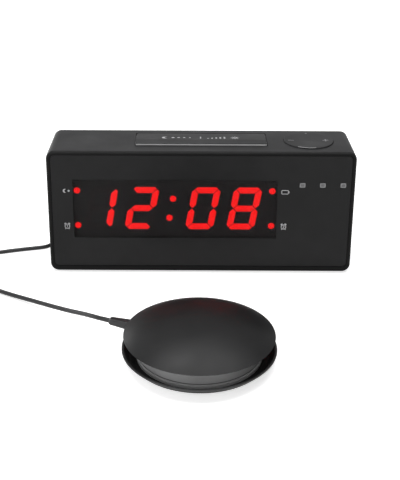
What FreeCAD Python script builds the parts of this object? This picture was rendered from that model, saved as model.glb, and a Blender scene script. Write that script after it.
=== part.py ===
import FreeCAD, Part
import math
import os
import re
import Sketcher

# Bed shaker alarm clock: a mains alarm clock with a red numeral display, and a vibrating puck on a lead.
# Millimetres. The clock faces -Y, +X is to the right seen from the front, +Z is up and Z = 0 is the table.
# The origin is the middle of the ground covered by the clock and the puck together.

SIZES = {
    # Clock housing
    "case_width": 183.0,
    "case_height": 77.6,
    "case_depth": 41.0,
    "case_wall": 2.2,
    "case_corner_radius": 5.0,
    "front_edge_radius": 1.6,
    "rear_edge_radius": 1.2,
    "cover_thickness": 2.2,
    "cover_lip_length": 1.2,
    "cover_lip_wall": 1.2,
    "foot_height": 0.8,
    "foot_radius": 5.0,
    "foot_side_inset": 14.0,
    "foot_end_inset": 9.0,
    # Clearances
    "moving_gap": 0.3,
    "pin_gap": 0.05,
    "assembly_gap": 0.2,
    "cut_overrun": 1.0,
    # Front window
    "side_rim": 2.4,
    "top_rim": 2.3,
    "bottom_rim": 3.6,
    "lens_thickness": 2.0,
    "lens_recess": 0.3,
    "lens_corner_radius": 2.6,
    "front_wall": 1.6,
    "window_left_share": 0.41967,
    "window_right_share": 0.25137,
    "window_low_share": 0.26546,
    "window_high_share": 0.76804,
    "filter_thickness": 0.6,
    # Numeral display
    "frame_depth": 7.6,
    "cell_depth": 2.4,
    "digit_middle_share": 0.51026,
    "digit_height_share": 0.69744,
    "digit_width_share": 0.13681,
    "digit_stroke_share": 0.22024,
    "digit_mitre_gap": 0.35,
    "digit_slant_angle": 10.0,
    "hours_tens_share": -0.3632,
    "hours_units_share": -0.1629,
    "minutes_tens_share": 0.1356,
    "minutes_units_share": 0.3379,
    "dot_radius": 1.9,
    "dot_proud": 0.2,
    "colon_share": -0.0195,
    "colon_spread_share": 0.15897,
    "indicator_left_share": -0.4780,
    "indicator_right_share": 0.4723,
    "indicator_spread_share": 0.28974,
    "board_thickness": 1.6,
    "display_board_margin": 7.0,
    "boss_radius": 2.4,
    "boss_margin": 3.6,
    "pilot_radius": 0.9,
    # Status windows
    "status_share": 0.32842,
    "status_pitch_share": 0.06585,
    "status_height_share": 0.73325,
    "status_width": 3.2,
    "status_height": 2.7,
    "status_flange": 1.0,
    "status_flange_depth": 0.8,
    "status_board_height": 9.0,
    "status_board_margin": 3.6,
    "status_led_size": 2.0,
    "status_led_depth": 1.2,
    # Snooze bar
    "snooze_width_share": 0.43169,
    "snooze_front": 11.4,
    "snooze_rear_margin": 6.6,
    "snooze_plate": 1.8,
    "snooze_rise": 1.2,
    "snooze_corner_radius": 1.4,
    "snooze_skirt": 1.6,
    "snooze_skirt_drop": 5.0,
    "snooze_catch": 1.4,
    "snooze_pin_radius": 1.0,
    "snooze_pin_length": 2.4,
    "snooze_pin_inset": 1.6,
    "snooze_pin_drop": 4.2,
    "snooze_rib": 1.6,
    "ear_thickness": 2.2,
    "ear_reach": 2.4,
    # Snooze switch
    "switch_size": 6.0,
    "switch_height": 3.5,
    "plunger_radius": 1.6,
    "plunger_rise": 0.9,
    "plunger_depth": 1.6,
    "plunger_place_share": 0.28696,
    "press_gap": 0.1,
    "key_board_drop": 8.8,
    "key_board_margin": 3.4,
    "key_board_rear_margin": 5.0,
    "key_boss_from_pad": 13.4,
    "key_boss_front": 9.5,
    "key_boss_rear_margin": 8.5,
    # Control pad
    "pad_side_margin": 26.5,
    "pad_front_margin": 6.2,
    "pad_rear_margin": 5.2,
    "pad_rise": 0.6,
    "pad_dish": 0.5,
    "pad_plate": 1.8,
    "pad_skirt": 1.5,
    "pad_skirt_drop": 6.2,
    "collar_wall": 1.4,
    "collar_drop": 5.5,
    "trunnion_radius": 0.9,
    "trunnion_drop": 4.8,
    "pad_foot_radius": 1.6,
    "pad_foot_inset": 5.3,
    "mat_margin": 1.0,
    "mat_thickness": 0.8,
    "mat_dome_radius": 3.0,
    "mat_dome_top_radius": 2.2,
    "mat_dome_height": 2.0,
    "rock_gap": 0.42,
    # Rear cover fastening
    "cover_boss_inset": 8.0,
    "cover_boss_low": 9.6,
    "cover_boss_top_inset": 8.8,
    "cover_boss_radius": 3.2,
    "cover_screw_radius": 1.3,
    "cover_screw_length": 11.0,
    "cover_hole_radius": 1.6,
    "screw_head_radius": 2.6,
    "screw_head_height": 1.2,
    "board_screw_length": 5.0,
    # Rear connectors, switch and buttons
    "main_board_inset": 11.6,
    "main_board_right_share": 0.0765,
    "main_board_low": 6.0,
    "main_board_top_inset": 16.4,
    "main_board_gap": 11.2,
    "main_boss_inset": 2.5,
    "shaker_jack_inset": 10.9,
    "jack_z": 12.0,
    "jack_body_width": 8.6,
    "jack_nose_radius": 3.6,
    "jack_bore_radius": 1.8,
    "jack_bore_depth": 11.0,
    "power_jack_share": 0.27322,
    "power_body_width": 10.4,
    "power_nose_radius": 4.2,
    "power_bore_radius": 2.9,
    "power_bore_depth": 9.0,
    "power_pin_radius": 1.0,
    "power_pin_recess": 1.0,
    "mode_share": 0.16393,
    "mode_slot_width": 9.4,
    "mode_slot_height": 3.4,
    "mode_knob_width": 3.4,
    "mode_knob_height": 2.6,
    "mode_knob_proud": 1.2,
    "mode_flange_width": 16.0,
    "mode_flange_height": 5.0,
    "mode_flange_depth": 1.0,
    "mode_body_width": 16.4,
    "mode_body_height": 6.0,
    "mode_body_depth": 6.4,
    "button_height_share": 0.50515,
    "button_pitch_share": 0.0765,
    "button_radius": 3.0,
    "button_proud": 1.0,
    "button_flange_radius": 3.9,
    "button_flange_depth": 1.0,
    "button_travel": 0.5,
    "button_edge_radius": 0.5,
    # Speaker
    "speaker_share": 0.02186,
    "speaker_height_share": 0.53093,
    "speaker_radius": 17.5,
    "speaker_rim": 1.4,
    "speaker_rim_width": 2.2,
    "speaker_basket_radius": 8.0,
    "speaker_basket_depth": 6.0,
    "speaker_magnet_radius": 7.6,
    "speaker_magnet_depth": 3.0,
    "cone_radius": 13.6,
    "cone_neck_radius": 5.0,
    "cone_depth": 3.6,
    "cone_wall": 0.6,
    "cup_wall": 1.2,
    "cup_depth": 2.6,
    "grille_slot_height": 1.5,
    "grille_pitch": 3.4,
    "grille_radius": 14.0,
    # Backup cells and their door
    "cell_radius": 5.25,
    "cell_length_share": 0.23825,
    "cell_cap_radius": 1.9,
    "cell_cap_length": 0.9,
    "cell_edge_radius": 0.5,
    "cell_gap": 0.4,
    "cell_contact_room": 2.4,
    "contact_thickness": 0.4,
    "contact_width": 7.0,
    "contact_coil_radius": 2.6,
    "bay_from_speaker": 5.7,
    "bay_low": 15.0,
    "bay_wall": 1.4,
    "door_overlap": 1.2,
    "door_thickness": 1.4,
    "door_seat_gap": 0.1,
    "door_hinge_inset": 0.7,
    "door_tab_width": 6.0,
    "door_tab_thickness": 1.2,
    "door_tab_reach": 1.5,
    "door_tab_room": 2.9,
    "door_grip_radius": 4.0,
    "door_grip_depth": 0.5,
    "door_edge_chamfer": 0.6,
    # Ribbon cables
    "ribbon_width": 12.0,
    "ribbon_thickness": 0.6,
    "ribbon_bend_share": 0.2326,
    # Shaker puck
    "puck_x": -1.5,
    "puck_distance": 98.2,
    "cap_radius": 39.1,
    "cap_rim_z": 14.7,
    "cap_rise": 10.8,
    "cap_wall": 2.0,
    "waist_radius": 32.0,
    "waist_wall": 2.0,
    "waist_foot": 0.6,
    "waist_foot_height": 1.5,
    "dish_radius": 40.0,
    "dish_rim_z": 7.5,
    "dish_rim_width": 1.0,
    "dish_floor_z": 3.0,
    "dish_base_radius": 27.0,
    "puck_foot_height": 0.8,
    "puck_foot_inner": 14.0,
    "puck_foot_outer": 20.0,
    "puck_foot_seat": 0.4,
    "puck_boss_circle": 24.0,
    "puck_boss_radius": 3.0,
    "puck_screw_radius": 1.2,
    "puck_screw_length": 8.0,
    "puck_head_radius": 2.4,
    "puck_head_height": 1.0,
    # Vibration motor
    "motor_axis_z": 11.4,
    "motor_radius": 10.2,
    "motor_height": 15.4,
    "motor_length": 25.0,
    "motor_rear_x": -17.0,
    "motor_collar_radius": 3.0,
    "motor_collar_length": 1.6,
    "shaft_radius": 1.0,
    "shaft_length": 11.6,
    "weight_radius": 8.0,
    "weight_length": 8.0,
    "weight_hub_radius": 3.0,
    "cradle_wall": 2.0,
    "cradle_height": 4.0,
    "cradle_end": 3.0,
    "clamp_width": 7.0,
    "clamp_thickness": 1.0,
    "clamp_foot": 6.0,
    "clamp_screw_radius": 1.0,
    "clamp_head_radius": 2.0,
    "clamp_head_height": 1.0,
    "clamp_pad": 3.0,
    "lead_wire_radius": 0.6,
    # Shaker lead
    "cord_diameter": 2.3,
    "coil_pitch": 2.8,
    "coil_mean_radius": 13.8,
    "coil_x": -155.0,
    "coil_behind_front": -1.0,
    "coil_lift": 0.9,
    "tie_width": 6.0,
    "tie_thickness": 0.5,
    "plug_barrel_radius": 1.7,
    "plug_barrel_length": 9.6,
    "plug_grip_radius": 3.9,
    "plug_grip_length": 17.0,
    "plug_grip_gap": 0.4,
    "plug_relief_length": 7.0,
    "plug_relief_radius": 1.9,
    "relief_angle": 157.5,
    "relief_reach": 51.5,
    "relief_z": 11.0,
    "relief_root_width": 6.4,
    "relief_root_height": 5.4,
    "relief_tip_width": 3.9,
    "relief_tip_height": 3.6,
    "relief_edge_radius": 0.9,
}

# Places and sizes worked out from the driving sizes, in the clock's own frame: Y = 0 is its front plane
FORMULAS = {
    "clock_front": "(puck_distance + dish_radius - case_depth) / 2",
    "puck_y": "clock_front - puck_distance",
    "half_width": "case_width / 2",
    "case_top": "foot_height + case_height",
    "inner_half": "half_width - case_wall",
    "inner_corner": "case_corner_radius - case_wall",
    "inner_top": "case_top - case_wall",
    "inner_floor": "foot_height + case_wall",
    "cover_face": "case_depth - cover_thickness",
    "seat_back": "lens_recess + lens_thickness",
    "wall_back": "seat_back + front_wall",
    "lens_half": "half_width - side_rim - assembly_gap",
    "lens_low": "foot_height + bottom_rim + assembly_gap",
    "lens_high": "case_top - top_rim - assembly_gap",
    "filter_back": "seat_back + filter_thickness",
    "frame_back": "wall_back + frame_depth",
    "display_board_back": "frame_back + board_thickness",
    "window_left": "case_width * window_left_share",
    "window_right": "case_width * window_right_share",
    "window_low": "foot_height + case_height * window_low_share",
    "window_high": "foot_height + case_height * window_high_share",
    "window_width": "window_left + window_right",
    "window_height": "window_high - window_low",
    "window_middle": "(window_right - window_left) / 2",
    "digit_middle": "window_low + window_height * digit_middle_share",
    "digit_height": "window_height * digit_height_share",
    "digit_width": "window_width * digit_width_share",
    "digit_stroke": "digit_width * digit_stroke_share",
    "hours_tens_x": "window_middle + window_width * hours_tens_share",
    "hours_units_x": "window_middle + window_width * hours_units_share",
    "minutes_tens_x": "window_middle + window_width * minutes_tens_share",
    "minutes_units_x": "window_middle + window_width * minutes_units_share",
    "colon_x": "window_middle + window_width * colon_share",
    "colon_spread": "window_height * colon_spread_share",
    "indicator_left_x": "window_middle + window_width * indicator_left_share",
    "indicator_right_x": "window_middle + window_width * indicator_right_share",
    "indicator_spread": "window_height * indicator_spread_share",
    "status_x": "case_width * status_share",
    "status_pitch": "case_width * status_pitch_share",
    "status_z": "foot_height + case_height * status_height_share",
    "snooze_width": "case_width * snooze_width_share",
    "snooze_half": "snooze_width / 2",
    "snooze_rear": "case_depth - snooze_rear_margin",
    "snooze_depth": "snooze_rear - snooze_front",
    "plunger_y": "snooze_front + snooze_depth * plunger_place_share",
    "snooze_top": "case_top + snooze_rise",
    "snooze_underside": "case_top - snooze_plate",
    "snooze_pin_y": "snooze_rear - snooze_pin_inset",
    "snooze_pin_z": "case_top - snooze_pin_drop",
    "ear_inner_x": "snooze_half + moving_gap + moving_gap / 2",
    "key_board_top": "case_top - key_board_drop",
    "switch_top": "key_board_top + switch_height",
    "plunger_top": "switch_top + plunger_rise",
    "pad_x": "half_width - pad_side_margin",
    "pad_radius": "(case_depth - pad_front_margin - pad_rear_margin) / 2",
    "pad_y": "pad_front_margin + pad_radius",
    "pad_foot_x": "pad_radius - pad_foot_inset",
    "mat_length": "2 * (pad_foot_x + mat_dome_radius + mat_margin)",
    "mat_width": "pad_radius + mat_dome_radius",
    "key_boss_x": "pad_x - key_boss_from_pad",
    "key_boss_rear": "case_depth - key_boss_rear_margin",
    "key_board_left": "key_boss_x + key_board_margin",
    "key_board_right": "pad_x + mat_length / 2 + mat_margin / 2",
    "key_board_front": "key_boss_front - key_board_margin",
    "key_board_rear": "case_depth - key_board_rear_margin",
    "pad_top": "case_top + pad_rise",
    "pad_underside": "case_top - pad_plate",
    "pad_hole_radius": "pad_radius + moving_gap",
    "collar_radius": "pad_hole_radius + collar_wall",
    "trunnion_z": "case_top - trunnion_drop",
    "mat_top": "key_board_top + mat_thickness",
    "dome_top": "mat_top + mat_dome_height",
    "cover_boss_x": "half_width - cover_boss_inset",
    "cover_boss_high": "case_top - cover_boss_top_inset",
    "main_board_left": "half_width - main_board_inset",
    "main_board_right": "case_width * main_board_right_share",
    "main_board_high": "case_top - main_board_top_inset",
    "main_board_back": "cover_face - main_board_gap",
    "main_board_front": "main_board_back - board_thickness",
    "jack_face": "case_depth - assembly_gap",
    "shaker_jack_x": "main_board_left - shaker_jack_inset",
    "power_jack_x": "case_width * power_jack_share",
    "mode_x": "case_width * mode_share",
    "first_button_x": "shaker_jack_x",
    "button_pitch": "case_width * button_pitch_share",
    "button_z": "foot_height + case_height * button_height_share",
    "speaker_x": "case_width * speaker_share",
    "speaker_z": "foot_height + case_height * speaker_height_share",
    "button_flange_back": "cover_face - assembly_gap / 2",
    "bay_left": "speaker_x + speaker_radius + assembly_gap + cup_wall + bay_from_speaker",
    "cell_length": "case_width * cell_length_share",
    "bay_right": "bay_left + cell_length + cell_cap_length + 2 * cell_contact_room",
    "bay_high": "bay_low + 4 * cell_radius + 3 * cell_gap",
    "door_left": "bay_left - door_overlap",
    "door_right": "bay_right + door_overlap",
    "door_low": "bay_low - door_overlap",
    "door_high": "bay_high + door_overlap",
    "door_seat": "case_depth - door_thickness - door_seat_gap",
    "cell_y": "door_seat - cell_gap - cell_radius",
    "bay_floor": "cell_y - cell_radius - cell_gap",
    "cap_top": "cap_rim_z + cap_rise",
    "cap_sphere": "(cap_radius ^ 2 + cap_rise ^ 2) / (2 * cap_rise)",
    "motor_front_x": "motor_rear_x + motor_length",
    "cord_radius": "cord_diameter / 2",
    "ribbon_bend": "(main_board_front - display_board_back) * ribbon_bend_share",
    "coil_y": "coil_behind_front",
    "coil_inner_radius": "coil_mean_radius - coil_pitch * 9 / 4",
}

# How much of the shorter run an arc of a lead takes up on each side of its corner
arc_share = 0.45

NAME = re.compile(r"[a-z_]+[a-z_0-9]*")

document = FreeCAD.newDocument("BedShakerClock")
sheet = document.addObject("Spreadsheet::Sheet", "Sizes")
for row, (alias, value) in enumerate(SIZES.items(), start=1):
    sheet.set("A%d" % row, alias)
    sheet.set("B%d" % row, str(value))
    sheet.setAlias("B%d" % row, alias)
document.recompute()

nodes = {}


def linked(text):
    """A formula in size names, with each name pointing at its cell of the sheet."""
    def cell(match):
        word = match.group(0)
        if word in FORMULAS:
            return "(" + linked(FORMULAS[word]) + ")"
        if word in SIZES:
            return "Sizes." + word
        return word
    return NAME.sub(cell, text)


def mm(text):
    """The value of a formula in size names."""
    return float(sheet.evalExpression(linked(text)))


def bind(item, **formulas):
    """Tie an object's properties to the sheet."""
    for name, text in formulas.items():
        item.setExpression(name, linked(text))


def place(item, x="0", y="0", z="0"):
    """Tie an object's place to the sheet."""
    for axis, text in (("x", x), ("y", y), ("z", z)):
        item.setExpression("Placement.Base." + axis, linked(text))


def keep(label, item, frame):
    """Name a finished piece and move it from its own frame to the frame of the set.
    A primitive already has a place of its own, so it is wrapped first."""
    if item.TypeId in ("Part::Box", "Part::Cylinder"):
        item = group(item.Name + "Piece", [item])
    item.Label = label
    if frame == "clock":
        place(item, y="clock_front")
    elif frame == "puck":
        place(item, x="puck_x", y="puck_y")
    nodes[label] = item


# Plain solids and booleans

AXES = {
    "X": FreeCAD.Rotation(FreeCAD.Vector(0, 1, 0), 90),
    "Y": FreeCAD.Rotation(FreeCAD.Vector(1, 0, 0), -90),
    "Z": FreeCAD.Rotation(),
}


def block(name, low, high):
    """A box between two corners."""
    item = document.addObject("Part::Box", name)
    for prop, start, end in zip(("Length", "Width", "Height"), low, high):
        bind(item, **{prop: "(%s) - (%s)" % (end, start)})
    place(item, *low)
    return item


def rod(name, start, axis, radius, length):
    """A cylinder that runs along an axis from its start."""
    item = document.addObject("Part::Cylinder", name)
    bind(item, Radius=radius, Height=length)
    item.Placement.Rotation = AXES[axis]
    place(item, *start)
    return item


def taper(name, start, axis, radius, end_radius, length):
    """A cone that runs along an axis from its start."""
    item = document.addObject("Part::Cone", name)
    bind(item, Radius1=radius, Radius2=end_radius, Height=length)
    item.Placement.Rotation = AXES[axis]
    place(item, *start)
    return item


def group(name, items):
    """Separate solids of one kind, kept as one piece list."""
    item = document.addObject("Part::Compound", name)
    item.Links = items
    return item


def fuse(name, items):
    """One solid from several."""
    item = document.addObject("Part::MultiFuse", name)
    item.Shapes = items
    item.Refine = True
    return item


def cut(name, base, tools):
    """A solid with tools taken away."""
    item = document.addObject("Part::Cut", name)
    item.Base = base
    item.Tool = tools[0] if len(tools) == 1 else fuse(name + "Tools", tools)
    item.Refine = True
    return item


# Part design bodies

def body(name):
    """An empty body."""
    return document.addObject("PartDesign::Body", name)


def sketch(owner, plane, name, level="0"):
    """A sketch on one of a body's own planes, moved along the plane's axis to a level."""
    item = owner.newObject("Sketcher::SketchObject", name)
    support = [feature for feature in owner.Origin.OriginFeatures if feature.Role == plane + "_Plane"]
    item.AttachmentSupport = [(support[0], "")]
    item.MapMode = "FlatFace"
    sign = "-" if plane == "XZ" else ""
    item.setExpression("AttachmentOffset.Base.z", linked("%s(%s)" % (sign, level)))
    return item


def measure(item, kind, text, *where):
    """A dimension of a sketch, tied to the sheet."""
    index = item.addConstraint(Sketcher.Constraint(kind, *where, mm(text)))
    item.setExpression("Constraints[%d]" % index, linked(text))


def pin_point(item, edge, end, x=None, y=None):
    """Hold a point of a sketch by its two coordinates."""
    if x is not None:
        measure(item, "DistanceX", x, -1, 1, edge, end)
    if y is not None:
        measure(item, "DistanceY", y, -1, 1, edge, end)


def vector(x, y):
    """A point in a sketch."""
    return FreeCAD.Vector(x, y, 0)


def draw_rectangle(item, low, high):
    """A rectangle between two corners."""
    corners = [(low[0], low[1]), (high[0], low[1]), (high[0], high[1]), (low[0], high[1])]
    draw_profile(item, corners)


def around(middle, size):
    """The two corners of a rectangle about its middle."""
    low = tuple("%s - (%s) / 2" % pair for pair in zip(middle, size))
    high = tuple("%s + (%s) / 2" % pair for pair in zip(middle, size))
    return low, high


def draw_slot(item, left, right, middle, radius):
    """Two straight sides joined by two half circles, given by their centres."""
    start, end, level, bend = mm(left), mm(right), mm(middle), mm(radius)
    up = FreeCAD.Vector(0, 0, 1)
    quarter = math.pi / 2
    right_circle = Part.Circle(vector(end, level), up, bend)
    left_circle = Part.Circle(vector(start, level), up, bend)
    shapes = [
        Part.LineSegment(vector(start, level - bend), vector(end, level - bend)),
        Part.ArcOfCircle(right_circle, -quarter, quarter),
        Part.LineSegment(vector(end, level + bend), vector(start, level + bend)),
        Part.ArcOfCircle(left_circle, quarter, 3 * quarter),
    ]
    ring = [item.addGeometry(shape, False) for shape in shapes]
    for index, edge in enumerate(ring):
        item.addConstraint(Sketcher.Constraint("Tangent", edge, 2, ring[(index + 1) % len(ring)], 1))
    item.addConstraint(Sketcher.Constraint("Equal", ring[1], ring[3]))
    pin_point(item, ring[1], 3, x=right, y=middle)
    pin_point(item, ring[3], 3, x=left)
    item.addConstraint(Sketcher.Constraint("Horizontal", ring[0]))
    measure(item, "Radius", radius, ring[1])


def draw_rounded(item, low, high, radius):
    """A rectangle with round corners between two corners."""
    left, bottom = mm(low[0]), mm(low[1])
    right, top = mm(high[0]), mm(high[1])
    bend = mm(radius)
    sides = [
        (vector(left + bend, bottom), vector(right - bend, bottom)),
        (vector(right, bottom + bend), vector(right, top - bend)),
        (vector(right - bend, top), vector(left + bend, top)),
        (vector(left, top - bend), vector(left, bottom + bend)),
    ]
    centres = [
        vector(right - bend, bottom + bend),
        vector(right - bend, top - bend),
        vector(left + bend, top - bend),
        vector(left + bend, bottom + bend),
    ]
    quarter = math.pi / 2
    up = FreeCAD.Vector(0, 0, 1)
    lines = [item.addGeometry(Part.LineSegment(*side), False) for side in sides]
    arcs = []
    for turn, centre in enumerate(centres, start=-1):
        arc = Part.ArcOfCircle(Part.Circle(centre, up, bend), turn * quarter, (turn + 1) * quarter)
        arcs.append(item.addGeometry(arc, False))
    for index in range(len(lines)):
        following = lines[(index + 1) % len(lines)]
        item.addConstraint(Sketcher.Constraint("Tangent", lines[index], 2, arcs[index], 1))
        item.addConstraint(Sketcher.Constraint("Tangent", arcs[index], 2, following, 1))
    for index, kind in enumerate(("Horizontal", "Vertical", "Horizontal", "Vertical")):
        item.addConstraint(Sketcher.Constraint(kind, lines[index]))
    for arc in arcs[1:]:
        item.addConstraint(Sketcher.Constraint("Equal", arcs[0], arc))
    measure(item, "Radius", radius, arcs[0])
    pin_point(item, lines[0], 1, y=low[1])
    pin_point(item, lines[1], 1, x=high[0])
    pin_point(item, lines[2], 1, y=high[1])
    pin_point(item, lines[3], 1, x=low[0])


def draw_circle(item, x, y, radius):
    """A circle."""
    circle = Part.Circle(vector(mm(x), mm(y)), FreeCAD.Vector(0, 0, 1), mm(radius))
    edge = item.addGeometry(circle, False)
    pin_point(item, edge, 3, x=x, y=y)
    measure(item, "Radius", radius, edge)


def draw_profile(item, points, arcs=None):
    """A closed outline through points. An arc starts at its point and is given by its centre.
    The point where an arc ends is held by X alone, because the arc sets its height."""
    arcs = arcs or {}
    places = [vector(mm(x), mm(y)) for x, y in points]
    edges = []
    for index, start in enumerate(places):
        end = places[(index + 1) % len(places)]
        if index in arcs:
            centre = vector(mm(arcs[index][0]), mm(arcs[index][1]))
            first = math.atan2(start.y - centre.y, start.x - centre.x)
            last = math.atan2(end.y - centre.y, end.x - centre.x)
            circle = Part.Circle(centre, FreeCAD.Vector(0, 0, 1), start.distanceToPoint(centre))
            forward = (last - first) % (2 * math.pi) < math.pi
            angles = (first, last) if forward else (last, first)
            edges.append((item.addGeometry(Part.ArcOfCircle(circle, *angles), False), forward))
        else:
            edges.append((item.addGeometry(Part.LineSegment(start, end), False), True))
    for index, (edge, forward) in enumerate(edges):
        after, after_forward = edges[(index + 1) % len(edges)]
        tail = 2 if forward else 1
        head = 1 if after_forward else 2
        item.addConstraint(Sketcher.Constraint("Coincident", edge, tail, after, head))
        start_end = 1 if forward else 2
        x, y = points[index]
        pin_point(item, edge, start_end, x=x, y=None if index - 1 in arcs else y)
        if index in arcs:
            pin_point(item, edge, 3, x=arcs[index][0], y=arcs[index][1])


def pad(owner, profile, length, forward=True):
    """Material from a sketch, forward along the plane's axis or back."""
    item = owner.newObject("PartDesign::Pad", profile.Name + "Pad")
    item.Profile = profile
    bind(item, Length=length)
    along_y = profile.AttachmentSupport[0][0].Role == "XZ_Plane"
    item.Reversed = forward == along_y
    profile.Visibility = False
    return item


def pocket(owner, profile, length, forward=True):
    """Material taken away from a sketch, forward along the plane's axis or back."""
    item = owner.newObject("PartDesign::Pocket", profile.Name + "Pocket")
    item.Profile = profile
    bind(item, Length=length)
    along_y = profile.AttachmentSupport[0][0].Role == "XZ_Plane"
    item.Reversed = forward != along_y
    profile.Visibility = False
    return item


def revolve(owner, profile, groove=False):
    """A full turn of a sketch about its upright axis."""
    kind = "Groove" if groove else "Revolution"
    item = owner.newObject("PartDesign::" + kind, profile.Name + kind)
    item.Profile = profile
    item.ReferenceAxis = (profile, ["V_Axis"])
    item.Angle = 360
    profile.Visibility = False
    return item


def edge_names(feature, test):
    """The edges of a feature that pass a test."""
    document.recompute()
    names = []
    for index, edge in enumerate(feature.Shape.Edges, start=1):
        if test(edge):
            names.append("Edge%d" % index)
    return names


def soften(owner, feature, test, radius, kind="Fillet"):
    """Round or bevel the edges that pass a test."""
    names = edge_names(feature, test)
    item = owner.newObject("PartDesign::" + kind, feature.Name + kind)
    item.Base = (feature, names)
    bind(item, **{"Radius" if kind == "Fillet" else "Size": radius})
    owner.Tip = item
    return item


def lies_at(axis, text):
    """A test for edges that lie flat at one place along an axis."""
    level = mm(text)
    close = 1e-4 * mm("case_wall")

    def test(edge):
        box = edge.BoundBox
        low, high = getattr(box, axis + "Min"), getattr(box, axis + "Max")
        return abs(low - level) < close and abs(high - level) < close
    return test


# Clock housing

def corner_places():
    """The four fastening posts of the rear cover."""
    return [(side + "cover_boss_x", z) for side in ("", "-") for z in ("cover_boss_low", "cover_boss_high")]


def display_boss_places():
    """The four posts that carry the display board."""
    return [
        (x, z)
        for x in ("-window_left - boss_margin", "window_right + boss_margin")
        for z in ("window_low + boss_margin", "window_high - boss_margin")
    ]


def key_boss_places():
    """The four posts that carry the key board."""
    return [(side + "key_boss_x", y) for side in ("", "-") for y in ("key_boss_front", "key_boss_rear")]


def status_places():
    """The middles of the three small status windows."""
    return ["status_x + %d * status_pitch" % index for index in range(3)]


def posts(owner, name, plane, level, places, radius, length, forward=True):
    """Round posts on one plane."""
    profile = sketch(owner, plane, name, level)
    for x, y in places:
        draw_circle(profile, x, y, radius)
    return pad(owner, profile, length, forward)


def holes(owner, name, plane, level, places, radius, length, forward=True):
    """Round holes from one plane."""
    profile = sketch(owner, plane, name, level)
    for x, y in places:
        draw_circle(profile, x, y, radius)
    return pocket(owner, profile, length, forward)


def make_case_shell():
    shell = body("CaseShell")
    outer = sketch(shell, "XZ", "CaseOutline")
    draw_rounded(outer, ("-half_width", "foot_height"), ("half_width", "case_top"), "case_corner_radius")
    block_out = pad(shell, outer, "cover_face")
    soften(shell, block_out, lies_at("Y", "0"), "front_edge_radius")

    cavity = sketch(shell, "XZ", "Cavity", "wall_back")
    draw_rounded(cavity, ("-inner_half", "inner_floor"), ("inner_half", "inner_top"), "inner_corner")
    pocket(shell, cavity, "case_depth")

    seat = sketch(shell, "XZ", "LensSeat", "seat_back")
    low = ("-half_width + side_rim", "foot_height + bottom_rim")
    high = ("half_width - side_rim", "case_top - top_rim")
    draw_rounded(seat, low, high, "lens_corner_radius + assembly_gap")
    pocket(shell, seat, "case_depth", forward=False)

    window = sketch(shell, "XZ", "DisplayWindow", "wall_back + cut_overrun")
    draw_rectangle(window, ("-window_left", "window_low"), ("window_right", "window_high"))
    pocket(shell, window, "front_wall + 2 * cut_overrun", forward=False)

    status = sketch(shell, "XZ", "StatusWindows", "wall_back + cut_overrun")
    for x in status_places():
        size = ("status_width + 2 * assembly_gap", "status_height + 2 * assembly_gap")
        draw_rectangle(status, *around((x, "status_z"), size))
    pocket(shell, status, "front_wall + 2 * cut_overrun", forward=False)

    collar = sketch(shell, "XY", "PadCollar", "inner_top - collar_drop")
    draw_circle(collar, "pad_x", "pad_y", "collar_radius")
    pad(shell, collar, "collar_drop + case_wall / 2")
    for side in ("", "-"):
        ear = sketch(shell, "YZ", "SnoozeEar" + ("Right" if side == "" else "Left"), side + "ear_inner_x")
        low = ("snooze_pin_y - ear_reach", "snooze_pin_z - ear_reach")
        high = ("snooze_pin_y + ear_reach", "inner_top + case_wall / 2")
        draw_rounded(ear, low, high, "snooze_pin_radius")
        pad(shell, ear, "ear_thickness", forward=side == "")
    posts(shell, "CoverPosts", "XZ", "seat_back + front_wall / 2", corner_places(), "cover_boss_radius",
          "cover_face - seat_back - front_wall / 2")
    holes(shell, "CoverPilots", "XZ", "cover_face", corner_places(), "cover_screw_radius",
          "cover_screw_length + cut_overrun", forward=False)
    posts(shell, "DisplayPosts", "XZ", "seat_back + front_wall / 2", display_boss_places(), "boss_radius",
          "frame_back - seat_back - front_wall / 2")
    posts(shell, "KeyPosts", "XY", "inner_top + case_wall / 2", key_boss_places(), "boss_radius",
          "inner_top - key_board_top + case_wall / 2", forward=False)

    opening = sketch(shell, "XY", "SnoozeOpening", "snooze_underside - cut_overrun")
    low = ("-snooze_half - moving_gap", "snooze_front - moving_gap")
    high = ("snooze_half + moving_gap", "snooze_rear + moving_gap")
    draw_rounded(opening, low, high, "snooze_corner_radius + moving_gap")
    pocket(shell, opening, "case_wall + snooze_plate")

    pad_hole = [("pad_x", "pad_y")]
    holes(shell, "PadHole", "XY", "inner_top - collar_drop - cut_overrun", pad_hole, "pad_hole_radius",
          "collar_drop + case_wall + 2 * cut_overrun")
    holes(shell, "TrunnionHoles", "XZ", "pad_y - collar_radius - cut_overrun", [("pad_x", "trunnion_z")],
          "trunnion_radius + pin_gap", "2 * collar_radius + 2 * cut_overrun")
    holes(shell, "SnoozePinHoles", "YZ", "-snooze_half - snooze_pin_length - cut_overrun",
          [("snooze_pin_y", "snooze_pin_z")], "snooze_pin_radius + pin_gap",
          "snooze_width + 2 * (snooze_pin_length + cut_overrun)")
    pilot = "pilot_radius + pin_gap"
    holes(shell, "DisplayPilots", "XZ", "frame_back", display_boss_places(), pilot, "board_screw_length",
          forward=False)
    holes(shell, "KeyPilots", "XY", "key_board_top", key_boss_places(), pilot, "board_screw_length")
    keep("case_shell", shell, "clock")


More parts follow.
